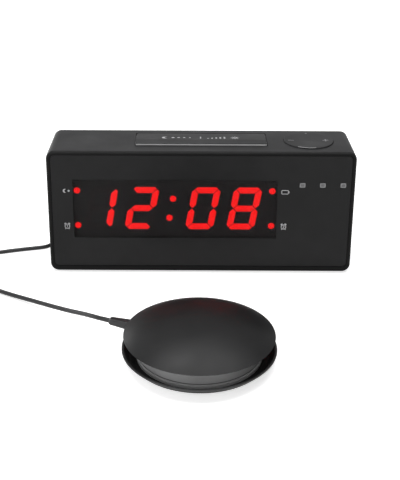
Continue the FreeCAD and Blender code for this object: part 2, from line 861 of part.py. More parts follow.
def make_rear_cover():
    cover = body("RearCover")
    outline = sketch(cover, "XZ", "CoverOutline", "cover_face")
    draw_rounded(outline, ("-half_width", "foot_height"), ("half_width", "case_top"), "case_corner_radius")
    plate = pad(cover, outline, "cover_thickness")
    soften(cover, plate, lies_at("Y", "case_depth"), "rear_edge_radius")

    lip = sketch(cover, "XZ", "CoverLip", "cover_face")
    lip_outlines = (("assembly_gap", "inner_corner"), ("assembly_gap + cover_lip_wall", "cover_lip_wall"))
    for inset, bend in lip_outlines:
        low = ("-inner_half + " + inset, "inner_floor + " + inset)
        high = ("inner_half - (%s)" % inset, "inner_top - (%s)" % inset)
        draw_rounded(lip, low, high, bend)
    pad(cover, lip, "cover_lip_length", forward=False)

    tub = sketch(cover, "XZ", "BatteryTub", "bay_floor - bay_wall")
    low = ("bay_left - bay_wall", "bay_low - bay_wall")
    high = ("bay_right + bay_wall", "bay_high + bay_wall")
    draw_rectangle(tub, low, high)
    pad(cover, tub, "cover_face - bay_floor + bay_wall + cover_thickness / 2")
    bay = sketch(cover, "XZ", "BatteryBay", "bay_floor")
    draw_rectangle(bay, ("bay_left", "bay_low"), ("bay_right", "bay_high"))
    pocket(cover, bay, "case_depth")
    recess = sketch(cover, "XZ", "DoorRecess", "door_seat")
    low = ("door_left - moving_gap", "door_low - moving_gap")
    high = ("door_right + moving_gap", "door_high + moving_gap")
    draw_rectangle(recess, low, high)
    pocket(cover, recess, "case_depth")
    notches = sketch(cover, "XZ", "TabNotches", "cover_face - door_tab_room")
    for middle in tab_middles():
        low = (middle + " - door_tab_width / 2 - moving_gap", "bay_low - bay_wall - cut_overrun")
        high = (middle + " + door_tab_width / 2 + moving_gap", "bay_low + cut_overrun")
        draw_rectangle(notches, low, high)
    pocket(cover, notches, "door_tab_room")
    ledges = sketch(cover, "XZ", "TabLedges", "cover_face - cut_overrun")
    for middle in tab_middles():
        low = (middle + " - door_tab_width / 2 - moving_gap", "door_low - moving_gap")
        high = (middle + " + door_tab_width / 2 + moving_gap", "bay_low + cut_overrun")
        draw_rectangle(ledges, low, high)
    pocket(cover, ledges, "cover_thickness")

    holes(cover, "CoverHoles", "XZ", "cover_face - cut_overrun", corner_places(), "cover_hole_radius",
          "case_depth")
    holes(cover, "CoverSinks", "XZ", "case_depth - screw_head_height - assembly_gap", corner_places(),
          "screw_head_radius + assembly_gap", "case_depth")
    openings = sketch(cover, "XZ", "RearOpenings", "cover_face - cut_overrun")
    draw_circle(openings, "-shaker_jack_x", "jack_z", "jack_nose_radius + assembly_gap")
    draw_circle(openings, "-power_jack_x", "jack_z", "power_nose_radius + assembly_gap")
    for x in button_places():
        draw_circle(openings, x, "button_z", "button_radius + assembly_gap")
    draw_rectangle(openings, *around(("-mode_x", "jack_z"), ("mode_slot_width", "mode_slot_height")))
    pocket(cover, openings, "case_depth")

    cup = sketch(cover, "XZ", "SpeakerCup", "cover_face")
    draw_circle(cup, "speaker_x", "speaker_z", "speaker_radius + assembly_gap + cup_wall")
    draw_circle(cup, "speaker_x", "speaker_z", "speaker_radius + assembly_gap")
    pad(cover, cup, "cup_depth", forward=False)
    draw_grille(cover)
    posts(cover, "MainPosts", "XZ", "cover_face", main_boss_places(), "boss_radius",
          "main_board_gap", forward=False)
    holes(cover, "MainPilots", "XZ", "main_board_back", main_boss_places(), "pilot_radius + pin_gap",
          "board_screw_length")
    keep("rear_cover", cover, "clock")


def draw_grille(cover):
    """Round-ended slots that fill a circle over the speaker."""
    grille = sketch(cover, "XZ", "SpeakerGrille", "cover_face - cut_overrun")
    bend = "grille_slot_height / 2"
    rows = int(mm("grille_radius / grille_pitch"))
    for row in range(-rows, rows + 1):
        level = "(%d) * grille_pitch" % row
        half = "sqrt((grille_radius + grille_slot_height) ^ 2 - (%s) ^ 2) - %s" % (level, bend)
        draw_slot(grille, "speaker_x - (%s)" % half, "speaker_x + " + half, "speaker_z + " + level, bend)
    pocket(cover, grille, "case_depth")


def main_boss_places():
    """The four posts that carry the main board."""
    return [
        (x, z)
        for x in ("-main_board_left + main_boss_inset", "-main_board_right - main_boss_inset")
        for z in ("main_board_low + main_boss_inset", "main_board_high - main_boss_inset")
    ]


def button_places():
    """The middles of the three rear buttons."""
    return ["-first_button_x + %d * button_pitch" % index for index in range(3)]


def tab_middles():
    """The middles of the two hooked tabs under the battery door."""
    return ["(3 * door_left + door_right) / 4", "(door_left + 3 * door_right) / 4"]


# Front window and display

def make_front_lens():
    lens = body("FrontLens")
    outline = sketch(lens, "XZ", "LensOutline", "lens_recess")
    draw_rounded(outline, ("-lens_half", "lens_low"), ("lens_half", "lens_high"), "lens_corner_radius")
    pad(lens, outline, "lens_thickness")
    status = sketch(lens, "XZ", "LensStatusHoles", "-cut_overrun")
    for x in status_places():
        size = ("status_width + 2 * pin_gap", "status_height + 2 * pin_gap")
        draw_rectangle(status, *around((x, "status_z"), size))
    pocket(lens, status, "case_depth")
    keep("front_lens", lens, "clock")


def make_display_filter():
    item = block("DisplayFilter", ("-window_left + assembly_gap", "seat_back", "window_low + assembly_gap"),
                 ("window_right - assembly_gap", "filter_back", "window_high - assembly_gap"))
    keep("display_filter", item, "clock")


# The seven bars of a numeral, named from the top one clockwise, with the middle one last
LIT_BARS = {
    "hours_tens_x": "bc",
    "hours_units_x": "abged",
    "minutes_tens_x": "abcdef",
    "minutes_units_x": "abcdefg",
}
ALL_BARS = "abcdefg"


def bar_corners(bar):
    """The corners of a bar before the numeral leans, from the numeral's middle."""
    half_width = mm("digit_width") / 2
    half_height = mm("digit_height") / 2
    stroke = mm("digit_stroke")
    gap = mm("digit_mitre_gap")
    inner = half_width - stroke
    if bar in "ad":
        sign = 1 if bar == "a" else -1
        outer = half_width - stroke / 3 - gap
        low = half_height - stroke
        tip = half_height - stroke / 3
        corners = [(-outer, tip), (-outer + stroke / 3, half_height), (outer - stroke / 3, half_height),
                   (outer, tip), (inner - gap, low), (-inner + gap, low)]
        return [(x, sign * z) for x, z in corners]
    if bar == "g":
        half = stroke / 2
        reach = half_width - half - gap
        return [(-reach, 0), (-inner + gap, half), (inner - gap, half), (reach, 0), (inner - gap, -half),
                (-inner + gap, -half)]
    side = 1 if bar in "bc" else -1
    sign = 1 if bar in "bf" else -1
    top = half_height - stroke / 3 - gap
    tip = half_width - stroke / 3
    middle = half_width - stroke / 2
    corners = [(tip, top), (half_width, top - stroke / 3), (half_width, stroke / 2 + gap), (middle, gap),
               (inner, stroke / 2 + gap), (inner, half_height - stroke - gap)]
    return [(side * x, sign * z) for x, z in corners]


def bar_solid(bar, numeral, front, back, grow=0):
    """One leaning bar of a numeral as a solid between two depths."""
    lean = math.tan(math.radians(mm("digit_slant_angle")))
    middle_x, middle_z = mm(numeral), mm("digit_middle")
    points = []
    for x, z in bar_corners(bar):
        points.append(FreeCAD.Vector(middle_x + x + lean * z, front, middle_z + z))
    face = Part.Face(Part.makePolygon(points + points[:1]))
    if grow:
        wire = face.OuterWire.makeOffset2D(grow, 2)
        face = Part.Face(wire)
    return face.extrude(FreeCAD.Vector(0, back - front, 0))


def dot_places():
    """The colon and the four corner dots."""
    lean = "tan(digit_slant_angle)"
    places = []
    for sign in ("", "-"):
        colon_x = "colon_x + %s(%s * colon_spread)" % (sign, lean)
        places.append((colon_x, "digit_middle + %scolon_spread" % sign))
        for x in ("indicator_left_x", "indicator_right_x"):
            places.append((x, "digit_middle + %sindicator_spread" % sign))
    return places


def solid_piece(name, solids):
    """A piece whose solids are made from the sheet's values."""
    item = document.addObject("Part::Feature", name)
    item.Shape = solids[0] if len(solids) == 1 else Part.makeCompound(solids)
    return item


def make_display():
    front = mm("filter_back + assembly_gap")
    face = mm("filter_back + assembly_gap + dot_proud")
    cell_floor = mm("filter_back + assembly_gap + cell_depth")
    lit = []
    dark = []
    for numeral, bars in LIT_BARS.items():
        for bar in ALL_BARS:
            solid = bar_solid(bar, numeral, front, cell_floor)
            (lit if bar in bars else dark).append(solid)
    keep("lit_bars", solid_piece("LitBars", lit), "clock")
    keep("unlit_bars", solid_piece("UnlitBars", dark), "clock")

    dots = [rod("Dot%d" % index, (x, "filter_back + assembly_gap", z), "Y", "dot_radius", "cell_depth")
            for index, (x, z) in enumerate(dot_places())]
    keep("indicator_dots", group("IndicatorDots", dots), "clock")

    margin = "assembly_gap"
    housing = Part.makeBox(
        mm("window_left + window_right - 2 * " + margin), mm("frame_back") - face,
        mm("window_high - window_low - 2 * " + margin),
        FreeCAD.Vector(mm("-window_left + " + margin), face, mm("window_low + " + margin)))
    cells = [bar_solid(bar, numeral, face, cell_floor, grow=mm("pin_gap"))
             for numeral in LIT_BARS for bar in ALL_BARS]
    rearward = FreeCAD.Vector(0, 1, 0)
    for x, z in dot_places():
        start = FreeCAD.Vector(mm(x), face, mm(z))
        cells.append(Part.makeCylinder(mm("dot_radius + pin_gap"), cell_floor - face, start, rearward))
    keep("digit_frame", solid_piece("DigitFrame", [housing.cut(cells)]), "clock")

    board = body("DisplayBoard")
    outline = sketch(board, "XZ", "DisplayBoardOutline", "frame_back")
    low = ("-window_left - display_board_margin", "window_low - cut_overrun")
    high = ("window_right + display_board_margin", "window_high + cut_overrun")
    draw_rectangle(outline, low, high)
    pad(board, outline, "board_thickness")
    holes(board, "DisplayBoardHoles", "XZ", "frame_back - cut_overrun", display_boss_places(),
          "cover_screw_radius", "case_depth")
    keep("display_board", board, "clock")


def make_status_windows():
    windows = []
    leds = []
    for index, x in enumerate(status_places()):
        middle = (x, "status_z")
        low, high = around(middle, ("status_width", "status_height"))
        stem = block("StatusStem%d" % index, (low[0], "lens_recess - dot_proud", low[1]),
                     (high[0], "wall_back + assembly_gap", high[1]))
        low, high = around(middle, ("status_width + 2 * status_flange", "status_height + 2 * status_flange"))
        flange = block("StatusFlange%d" % index, (low[0], "wall_back", low[1]),
                       (high[0], "wall_back + status_flange_depth", high[1]))
        windows.append(fuse("StatusWindow%d" % index, [stem, flange]))
        low, high = around(middle, ("status_led_size", "status_led_size"))
        start = "wall_back + status_flange_depth + assembly_gap"
        leds.append(block("StatusLed%d" % index, (low[0], start, low[1]),
                          (high[0], start + " + status_led_depth", high[1])))
    keep("status_windows", group("StatusWindowSet", windows), "clock")

    face = "wall_back + status_flange_depth + assembly_gap + status_led_depth"
    low = ("status_x - status_board_margin", face, "status_z - status_board_height / 2")
    high = ("status_x + 2 * status_pitch + status_board_margin", face + " + board_thickness",
            "status_z + status_board_height / 2")
    keep("status_board", fuse("StatusBoard", [block("StatusPlate", low, high)] + leds), "clock")


# Snooze bar and its switch

def make_snooze_bar():
    bar = body("SnoozeBar")
    section = sketch(bar, "YZ", "SnoozeSection", "-snooze_half")
    draw_profile(section, [
        ("snooze_front", "snooze_underside - snooze_skirt_drop + snooze_skirt"),
        ("snooze_rear", "snooze_underside - snooze_skirt_drop + snooze_skirt"),
        ("snooze_rear", "case_top"),
        ("snooze_front + snooze_depth / 3", "snooze_top"),
        ("snooze_front", "snooze_top"),
    ])
    solid = pad(bar, section, "snooze_width")
    solid = soften(bar, solid, is_upright_corner, "snooze_corner_radius")
    soften(bar, solid, lies_at_front_top, "snooze_rise / 2")
    hollow = sketch(bar, "XY", "SnoozeHollow", "snooze_underside")
    low = ("-snooze_half + snooze_skirt", "snooze_front + snooze_skirt")
    high = ("snooze_half - snooze_skirt", "snooze_rear - snooze_skirt")
    draw_rectangle(hollow, low, high)
    pocket(bar, hollow, "case_height", forward=False)
    catch = sketch(bar, "XY", "SnoozeCatch", "inner_top - moving_gap - snooze_skirt")
    low = ("-snooze_half / 2", "snooze_front - snooze_catch")
    high = ("snooze_half / 2", "snooze_front + snooze_skirt / 2")
    draw_rectangle(catch, low, high)
    pad(bar, catch, "snooze_skirt")
    rib = sketch(bar, "XY", "SnoozeRib", "plunger_top + press_gap")
    draw_rectangle(rib, *around(("0", "plunger_y"), ("switch_size", "snooze_rib * 2")))
    pad(bar, rib, "snooze_underside - plunger_top - press_gap + snooze_plate / 2")
    for side in ("", "-"):
        name = "SnoozePin" + ("Right" if side == "" else "Left")
        start = side + "(snooze_half - snooze_skirt / 2)"
        posts(bar, name, "YZ", start, [("snooze_pin_y", "snooze_pin_z")], "snooze_pin_radius",
              "snooze_pin_length + snooze_skirt / 2", forward=side == "")
    keep("snooze_bar", bar, "clock")


def is_upright_corner(edge):
    """The upright edges of the snooze bar's ends."""
    box = edge.BoundBox
    return box.ZLength > mm("snooze_skirt") and box.XLength < mm("pin_gap") and box.YLength < mm("pin_gap")


def lies_at_front_top(edge):
    """The long top edge along the front of the snooze bar."""
    close = mm("pin_gap")
    box = edge.BoundBox
    at_front = abs(box.YMin - mm("snooze_front")) < close and abs(box.YMax - mm("snooze_front")) < close
    return at_front and abs(box.ZMin - mm("snooze_top")) < close and box.XLength > mm("snooze_half")


def make_snooze_switch():
    low, high = around(("0", "plunger_y"), ("switch_size", "switch_size"))
    base = block("SwitchBase", low + ("key_board_top",), high + ("switch_top",))
    bore = rod("SwitchBore", ("0", "plunger_y", "switch_top - plunger_depth"), "Z",
               "plunger_radius + pin_gap", "plunger_depth + cut_overrun")
    keep("snooze_switch", cut("SnoozeSwitch", base, [bore]), "clock")
    plunger = rod("SnoozePlunger", ("0", "plunger_y", "switch_top - plunger_depth / 2"), "Z",
                  "plunger_radius", "plunger_depth / 2 + plunger_rise")
    keep("snooze_plunger", plunger, "clock")


def make_key_board():
    board = body("KeyBoard")
    outline = sketch(board, "XY", "KeyBoardOutline", "key_board_top - board_thickness")
    draw_rounded(outline, ("-key_board_left", "key_board_front"), ("key_board_right", "key_board_rear"),
                 "boss_radius / 2")
    pad(board, outline, "board_thickness")
    holes(board, "KeyBoardHoles", "XY", "key_board_top - board_thickness - cut_overrun", key_boss_places(),
          "cover_screw_radius", "board_thickness + 2 * cut_overrun")
    keep("key_board", board, "clock")

    low, high = around(("pad_x", "pad_y"), ("mat_length", "mat_width"))
    pieces = [block("MatSheet", low + ("key_board_top",), high + ("mat_top",))]
    for side in ("+", "-"):
        place_x = "pad_x %s pad_foot_x" % side
        name = "MatDome" + ("Right" if side == "+" else "Left")
        start = (place_x, "pad_y", "mat_top - mat_thickness / 2")
        pieces.append(taper(name, start, "Z", "mat_dome_radius", "mat_dome_top_radius",
                            "mat_dome_height + mat_thickness / 2"))
    keep("key_mat", fuse("KeyMat", pieces), "clock")


# Control pad

def make_control_pad():
    button = body("ControlPad")
    section = sketch(button, "XZ", "PadSection")
    skirt_bottom = "pad_underside - pad_skirt_drop + pad_plate"
    draw_profile(section, [
        ("0", "pad_underside"),
        ("pad_radius - pad_skirt", "pad_underside"),
        ("pad_radius - pad_skirt", skirt_bottom),
        ("pad_radius", skirt_bottom),
        ("pad_radius", "pad_top - pad_rise / 2"),
        ("pad_radius - pad_rise / 2", "pad_top"),
        ("pad_radius - pad_skirt", "pad_top"),
        ("0", "pad_top - pad_dish"),
    ])
    revolve(button, section)
    feet = [("-pad_foot_x", "0"), ("pad_foot_x", "0")]
    posts(button, "PadFeet", "XY", "dome_top + rock_gap", feet, "pad_foot_radius",
          "pad_underside - dome_top - rock_gap + pad_plate / 3")
    for side in ("", "-"):
        name = "Trunnion" + ("Rear" if side == "" else "Front")
        posts(button, name, "XZ", side + "(pad_radius - pad_skirt / 2)", [("0", "trunnion_z")],
              "trunnion_radius", "pad_skirt / 2 + moving_gap + collar_wall / 2", forward=side == "")
    button.Label = "control_pad"
    place(button, x="pad_x", y="clock_front + pad_y")
    nodes["control_pad"] = button


# Main board, connectors, mode switch and rear buttons

def make_main_board():
    board = body("MainBoard")
    outline = sketch(board, "XZ", "MainBoardOutline", "main_board_front")
    draw_rectangle(outline, ("-main_board_left", "main_board_low"), ("-main_board_right", "main_board_high"))
    pad(board, outline, "board_thickness")
    holes(board, "MainBoardHoles", "XZ", "main_board_front - cut_overrun", main_boss_places(),
          "cover_screw_radius", "case_depth")
    keep("main_board", board, "clock")


def make_jack(label, x, width, nose, bore, depth, pin=None):
    """A round connector on the main board, with its nose in the rear cover."""
    low, high = around((x, "jack_z"), (width, width))
    case = block(label + "Case", (low[0], "main_board_back", low[1]),
                 (high[0], "cover_face - cover_lip_length / 2", high[1]))
    length = "jack_face - cover_face + cover_lip_length"
    front = rod(label + "Nose", (x, "cover_face - cover_lip_length", "jack_z"), "Y", nose, length)
    hole = rod(label + "Bore", (x, "jack_face - " + depth, "jack_z"), "Y", bore, depth + " + cut_overrun")
    shape = cut(label + "Body", fuse(label + "Outside", [case, front]), [hole])
    if pin:
        stem = rod(label + "Pin", (x, "jack_face - %s - assembly_gap" % depth, "jack_z"), "Y", pin,
                   depth + " + assembly_gap - power_pin_recess")
        shape = fuse(label + "WithPin", [shape, stem])
    return shape


def make_connectors():
    jack = make_jack("ShakerJack", "-shaker_jack_x", "jack_body_width", "jack_nose_radius",
                     "jack_bore_radius", "jack_bore_depth")
    keep("shaker_jack", jack, "clock")
    inlet = make_jack("PowerJack", "-power_jack_x", "power_body_width", "power_nose_radius",
                      "power_bore_radius", "power_bore_depth", "power_pin_radius")
    keep("power_jack", inlet, "clock")


def make_mode_switch():
    middle = ("-mode_x", "jack_z")
    flange_back = "cover_face - assembly_gap"
    flange_front = "cover_face - assembly_gap - mode_flange_depth"
    low, high = around(middle, ("mode_body_width", "mode_body_height"))
    case = block("ModeCase", (low[0], "main_board_back", low[1]),
                 (high[0], "main_board_back + mode_body_depth", high[1]))
    keep("mode_switch", case, "clock")
    low, high = around(middle, ("mode_flange_width", "mode_flange_height"))
    flange = block("ModeFlange", (low[0], flange_front, low[1]), (high[0], flange_back, high[1]))
    low, high = around(middle, ("mode_knob_width", "mode_knob_height"))
    knob = block("ModeKnobGrip", (low[0], "main_board_back + mode_body_depth + moving_gap", low[1]),
                 (high[0], "case_depth + mode_knob_proud", high[1]))
    keep("mode_knob", fuse("ModeKnob", [flange, knob]), "clock")


def make_rear_buttons():
    switches = []
    labels = ("time_button", "alarm_one_button", "alarm_two_button")
    for index, (label, x) in enumerate(zip(labels, button_places())):
        cap = body("RearButton%d" % index)
        posts(cap, "ButtonFlange%d" % index, "XZ", "button_flange_back - button_flange_depth",
              [(x, "button_z")], "button_flange_radius", "button_flange_depth")
        stem = posts(cap, "ButtonStem%d" % index, "XZ", "button_flange_back - button_flange_depth / 2",
                     [(x, "button_z")], "button_radius",
                     "case_depth + button_proud - button_flange_back + button_flange_depth / 2")
        soften(cap, stem, lies_at("Y", "case_depth + button_proud"), "button_edge_radius")
        keep(label, cap, "clock")
        low, high = around((x, "button_z"), ("switch_size", "switch_size"))
        case = block("ButtonSwitch%d" % index, (low[0], "main_board_back", low[1]),
                     (high[0], "main_board_back + switch_height", high[1]))
        reach = "button_flange_back - button_flange_depth - button_travel - pin_gap - main_board_back"
        tip = rod("ButtonTip%d" % index, (x, "main_board_back", "button_z"), "Y", "plunger_radius", reach)
        switches.append(fuse("ButtonTact%d" % index, [case, tip]))
    keep("button_switches", group("ButtonSwitches", switches), "clock")


# Speaker

def make_speaker():
    frame = body("SpeakerFrame")
    section = sketch(frame, "XZ", "SpeakerSection")
    magnet_end = "speaker_basket_depth + speaker_magnet_depth"
    inner = "speaker_radius - speaker_rim_width"
    draw_profile(section, [
        ("0", "-(%s)" % magnet_end),
        ("speaker_magnet_radius", "-(%s)" % magnet_end),
        ("speaker_magnet_radius", "-speaker_basket_depth"),
        ("speaker_basket_radius", "-speaker_basket_depth"),
        (inner, "-speaker_rim - cone_wall"),
        ("speaker_radius", "-speaker_rim"),
        ("speaker_radius", "0"),
        (inner, "0"),
        (inner, "-speaker_rim / 2"),
        ("cone_neck_radius", "-cone_depth - 2 * cone_wall"),
        ("0", "-cone_depth - 2 * cone_wall"),
    ])
    revolve(frame, section)
    stand_speaker(frame, "speaker_frame", "0")

    cone = body("SpeakerCone")
    section = sketch(cone, "XZ", "ConeSection")
    draw_profile(section, [
        ("0", "-cone_depth"),
        ("cone_neck_radius", "-cone_depth"),
        ("cone_radius", "0"),
        (inner + " - pin_gap", "0"),
        (inner + " - pin_gap", "cone_wall"),
        ("cone_radius", "cone_wall"),
        ("cone_neck_radius", "-cone_depth + cone_wall"),
        ("0", "-cone_depth + 3 * cone_wall"),
    ])
    revolve(cone, section)
    stand_speaker(cone, "speaker_cone", "speaker_rim / 2 - pin_gap")


def stand_speaker(item, label, sink):
    """Turn a piece of the speaker to face the rear and set it in the cup of the cover."""
    item.Placement.Rotation = AXES["Y"]
    item.Label = label
    face = "cover_face - assembly_gap - (%s)" % sink
    place(item, x="speaker_x", y="clock_front + " + face, z="speaker_z")
    nodes[label] = item


# Backup cells, their contacts and the battery door

def cell_rows():
    """The heights of the two cells."""
    return ["bay_low + cell_gap + cell_radius", "bay_low + 2 * cell_gap + 3 * cell_radius"]


def make_backup_cells():
    cells = []
    for index, z in enumerate(cell_rows()):
        cell = body("Cell%d" % index)
        section = sketch(cell, "XZ", "CellSection%d" % index)
        draw_profile(section, [
            ("0", "0"),
            ("cell_radius - cell_edge_radius", "0"),
            ("cell_radius", "cell_edge_radius"),
            ("cell_radius", "cell_length - cell_edge_radius"),
            ("cell_radius - cell_edge_radius", "cell_length"),
            ("cell_cap_radius", "cell_length"),
            ("cell_cap_radius", "cell_length + cell_cap_length"),
            ("0", "cell_length + cell_cap_length"),
        ])
        revolve(cell, section)
        points_right = index == 0
        cell.Placement.Rotation = FreeCAD.Rotation(FreeCAD.Vector(0, 1, 0), 90 if points_right else -90)
        end = "bay_left + cell_contact_room" if points_right else "bay_right - cell_contact_room"
        place(cell, x=end, y="cell_y", z=z)
        cells.append(cell)
    keep("backup_cells", group("BackupCells", cells), "clock")


def make_cell_contacts():
    contacts = []
    low_z, high_z = cell_rows()
    strips = {
        "Right": ("bay_right - contact_thickness - pin_gap", low_z + " - contact_width / 2",
                  high_z + " + contact_width / 2"),
        "LeftLow": ("bay_left + pin_gap", low_z + " - contact_width / 2", low_z + " + contact_width / 2"),
        "LeftHigh": ("bay_left + pin_gap", high_z + " - contact_width / 2", high_z + " + contact_width / 2"),
    }
    for name, (x, low, high) in strips.items():
        plate = block("Contact" + name, (x, "cell_y - contact_width / 2", low),
                      (x + " + contact_thickness", "cell_y + contact_width / 2", high))
        parts = [plate]
        reach = "cell_contact_room - contact_thickness - 2 * pin_gap"
        if name == "LeftLow":
            parts.append(taper("ContactSpringLow", (x, "cell_y", low_z), "X", "contact_coil_radius",
                               "cell_cap_radius", "contact_thickness + " + reach))
        if name == "Right":
            start = "bay_right - cell_contact_room + pin_gap"
            parts.append(taper("ContactSpringHigh", (start, "cell_y", high_z), "X", "cell_cap_radius",
                               "contact_coil_radius", "contact_thickness + " + reach))
        contacts.append(fuse("ContactPiece" + name, parts) if len(parts) > 1 else plate)
    keep("cell_contacts", group("CellContacts", contacts), "clock")


def make_battery_door():
    door = body("BatteryDoor")
    section = sketch(door, "YZ", "DoorSection", "door_left")
    inner = "case_depth - door_thickness"
    draw_profile(section, [
        (inner, "door_low + door_edge_chamfer"),
        (inner + " + door_edge_chamfer", "door_low"),
        ("case_depth - door_edge_chamfer", "door_low"),
        ("case_depth", "door_low + door_edge_chamfer"),
        ("case_depth", "door_high"),
        (inner, "door_high"),
    ])
    pad(door, section, "door_right - door_left")
    grip = sketch(door, "XZ", "DoorGrip", "case_depth - door_grip_depth")
    middle = "(door_left + door_right) / 2"
    draw_slot(grip, middle + " - door_grip_radius", middle + " + door_grip_radius",
              "door_high - door_grip_radius", "door_grip_radius / 2")
    pocket(door, grip, "case_depth")
    for index, middle in enumerate(tab_middles()):
        tab = sketch(door, "YZ", "DoorTab%d" % index, middle + " - door_tab_width / 2")
        back = "cover_face - moving_gap - door_tab_thickness"
        draw_profile(tab, [
            ("cover_face - moving_gap", "door_low - door_tab_reach"),
            ("cover_face - moving_gap", "door_low + moving_gap / 2"),
            (inner + " + door_edge_chamfer", "door_low + moving_gap / 2"),
            (inner + " + door_edge_chamfer", "door_low + door_edge_chamfer + door_tab_thickness"),
            (back, "door_low + door_tab_thickness + moving_gap / 2"),
            (back, "door_low - door_tab_reach"),
        ])
        pad(door, tab, "door_tab_width")
    keep("battery_door", door, "clock")


# Cables between the boards

def make_ribbons():
    """Flat cables with rounded folds, each swept along straight runs and tangent arcs."""
    top = mm("window_high - boss_radius")
    start_x = mm("-main_board_left + 2 * main_boss_inset + ribbon_width")
    start = FreeCAD.Vector(start_x, mm("display_board_back"), top)
    end_y = mm("main_board_front")
    sag = mm("ribbon_width")
    middle_y = (start.y + end_y) / 2
    path = [start, FreeCAD.Vector(start.x, middle_y, top), FreeCAD.Vector(start.x, middle_y, top - sag),
            FreeCAD.Vector(start.x, end_y, top - sag)]
    keep("display_ribbon", solid_piece("DisplayRibbon", [ribbon(path, FreeCAD.Vector(1, 0, 0))]), "clock")

    board_under = mm("key_board_top - board_thickness")
    x = mm("-main_board_right - main_boss_inset - ribbon_width")
    y = mm("main_board_front - ribbon_bend * 2 - ribbon_thickness")
    low = mm("main_board_high - ribbon_width")
    path = [FreeCAD.Vector(x, y, board_under), FreeCAD.Vector(x, y, low),
            FreeCAD.Vector(x, mm("main_board_front"), low)]
    keep("key_ribbon", solid_piece("KeyRibbon", [ribbon(path, FreeCAD.Vector(1, 0, 0))]), "clock")


def ribbon(points, across):
    """A flat strip that follows a path in one plane, with round folds."""
    wire = rounded_wire(points, mm("ribbon_bend"))
    direction = (points[1] - points[0]).normalize()
    half_width = across * (mm("ribbon_width") / 2)
    half_depth = across.cross(direction).normalize() * (mm("ribbon_thickness") / 2)
    corners = [points[0] + half_width + half_depth, points[0] - half_width + half_depth,
               points[0] - half_width - half_depth, points[0] + half_width - half_depth]
    profile = Part.makePolygon(corners + corners[:1])
    return wire.makePipeShell([profile], True, False)


def rounded_wire(points, radius=None):
    """Straight runs joined by tangent arcs. Without a radius each arc is as large as its runs allow."""
    edges = []
    last = points[0]
    for before, corner, after in zip(points, points[1:], points[2:]):
        inward = (before - corner).normalize()
        outward = (after - corner).normalize()
        half_turn = (math.pi - inward.getAngle(outward)) / 2
        short = min(before.distanceToPoint(corner), corner.distanceToPoint(after))
        bend = radius or arc_share * short / math.tan(half_turn)
        reach = bend * math.tan(half_turn)
        start = corner + inward * reach
        end = corner + outward * reach
        bisector = (inward + outward).normalize()
        middle = corner + bisector * (bend / math.cos(half_turn) - bend)
        if last.distanceToPoint(start) > mm("pin_gap") / 10:
            edges.append(Part.LineSegment(last, start).toShape())
        edges.append(Part.Arc(start, middle, end).toShape())
        last = end
    edges.append(Part.LineSegment(last, points[-1]).toShape())
    return Part.Wire(edges)


# Screws and feet

def screw(name, start, axis, head_radius, head_height, shank_radius, length):
    """A pan-head screw whose head starts at a place and whose shank runs along an axis from it."""
    way = {"X": (1, 0, 0), "Y": (0, 1, 0), "Z": (0, 0, 1)}[axis[-1]]
    back = axis[0] == "-"
    item = body(name)
    section = sketch(item, "XZ", name + "Section")
    draw_profile(section, [
        ("0", "%s / 3" % head_height),
        ("%s / 3" % head_radius, "%s / 3" % head_height),
        ("%s / 3" % head_radius, "0"),
        ("%s - %s / 3" % (head_radius, head_height), "0"),
        (head_radius, "%s / 3" % head_height),
        (head_radius, head_height),
        (shank_radius, head_height),
        (shank_radius, "%s + %s - (%s)" % (head_height, length, shank_radius)),
        ("0", "%s + %s" % (head_height, length)),
    ])
    revolve(item, section)
    direction = FreeCAD.Vector(*way) * (-1 if back else 1)
    item.Placement.Rotation = FreeCAD.Rotation(FreeCAD.Vector(0, 0, 1), direction)
    place(item, *start)
    return item


def make_clock_screws():
    shank = "cover_screw_radius - pin_gap"
    screws = [
        screw("CoverScrew%d" % index, (x, "case_depth - assembly_gap", z), "-Y", "screw_head_radius",
              "screw_head_height", shank, "cover_screw_length - cover_thickness + screw_head_height")
        for index, (x, z) in enumerate(corner_places())
    ]
    keep("cover_screws", group("CoverScrews", screws), "clock")

    thin = "pilot_radius"
    board_screws = []
    for index, (x, z) in enumerate(display_boss_places()):
        start = (x, "display_board_back + screw_head_height", z)
        board_screws.append(screw("DisplayScrew%d" % index, start, "-Y", "boss_radius", "screw_head_height",
                                  thin, "board_screw_length"))
    for index, (x, z) in enumerate(main_boss_places()):
        start = (x, "main_board_front - screw_head_height", z)
        board_screws.append(screw("MainScrew%d" % index, start, "Y", "boss_radius", "screw_head_height",
                                  thin, "board_screw_length"))
    for index, (x, y) in enumerate(key_boss_places()):
        start = (x, y, "key_board_top - board_thickness - screw_head_height")
        board_screws.append(screw("KeyScrew%d" % index, start, "Z", "boss_radius", "screw_head_height",
                                  thin, "board_screw_length"))
    keep("board_screws", group("BoardScrews", board_screws), "clock")


def make_clock_feet():
    feet = []
    for side in ("", "-"):
        for end, y in (("Front", "foot_end_inset"), ("Rear", "case_depth - foot_end_inset")):
            name = "Foot" + end + ("Right" if side == "" else "Left")
            start = (side + "(half_width - foot_side_inset)", y, "0")
            feet.append(rod(name, start, "Z", "foot_radius", "foot_height"))
    keep("clock_feet", group("ClockFeet", feet), "clock")


# Shaker puck, about its own upright axis

def puck_boss_places():
    """The three fastening posts of the puck."""
    places = []
    for index in range(3):
        angle = 90 + 120 * index
        places.append(("puck_boss_circle * cos(%d)" % angle, "puck_boss_circle * sin(%d)" % angle))
    return places


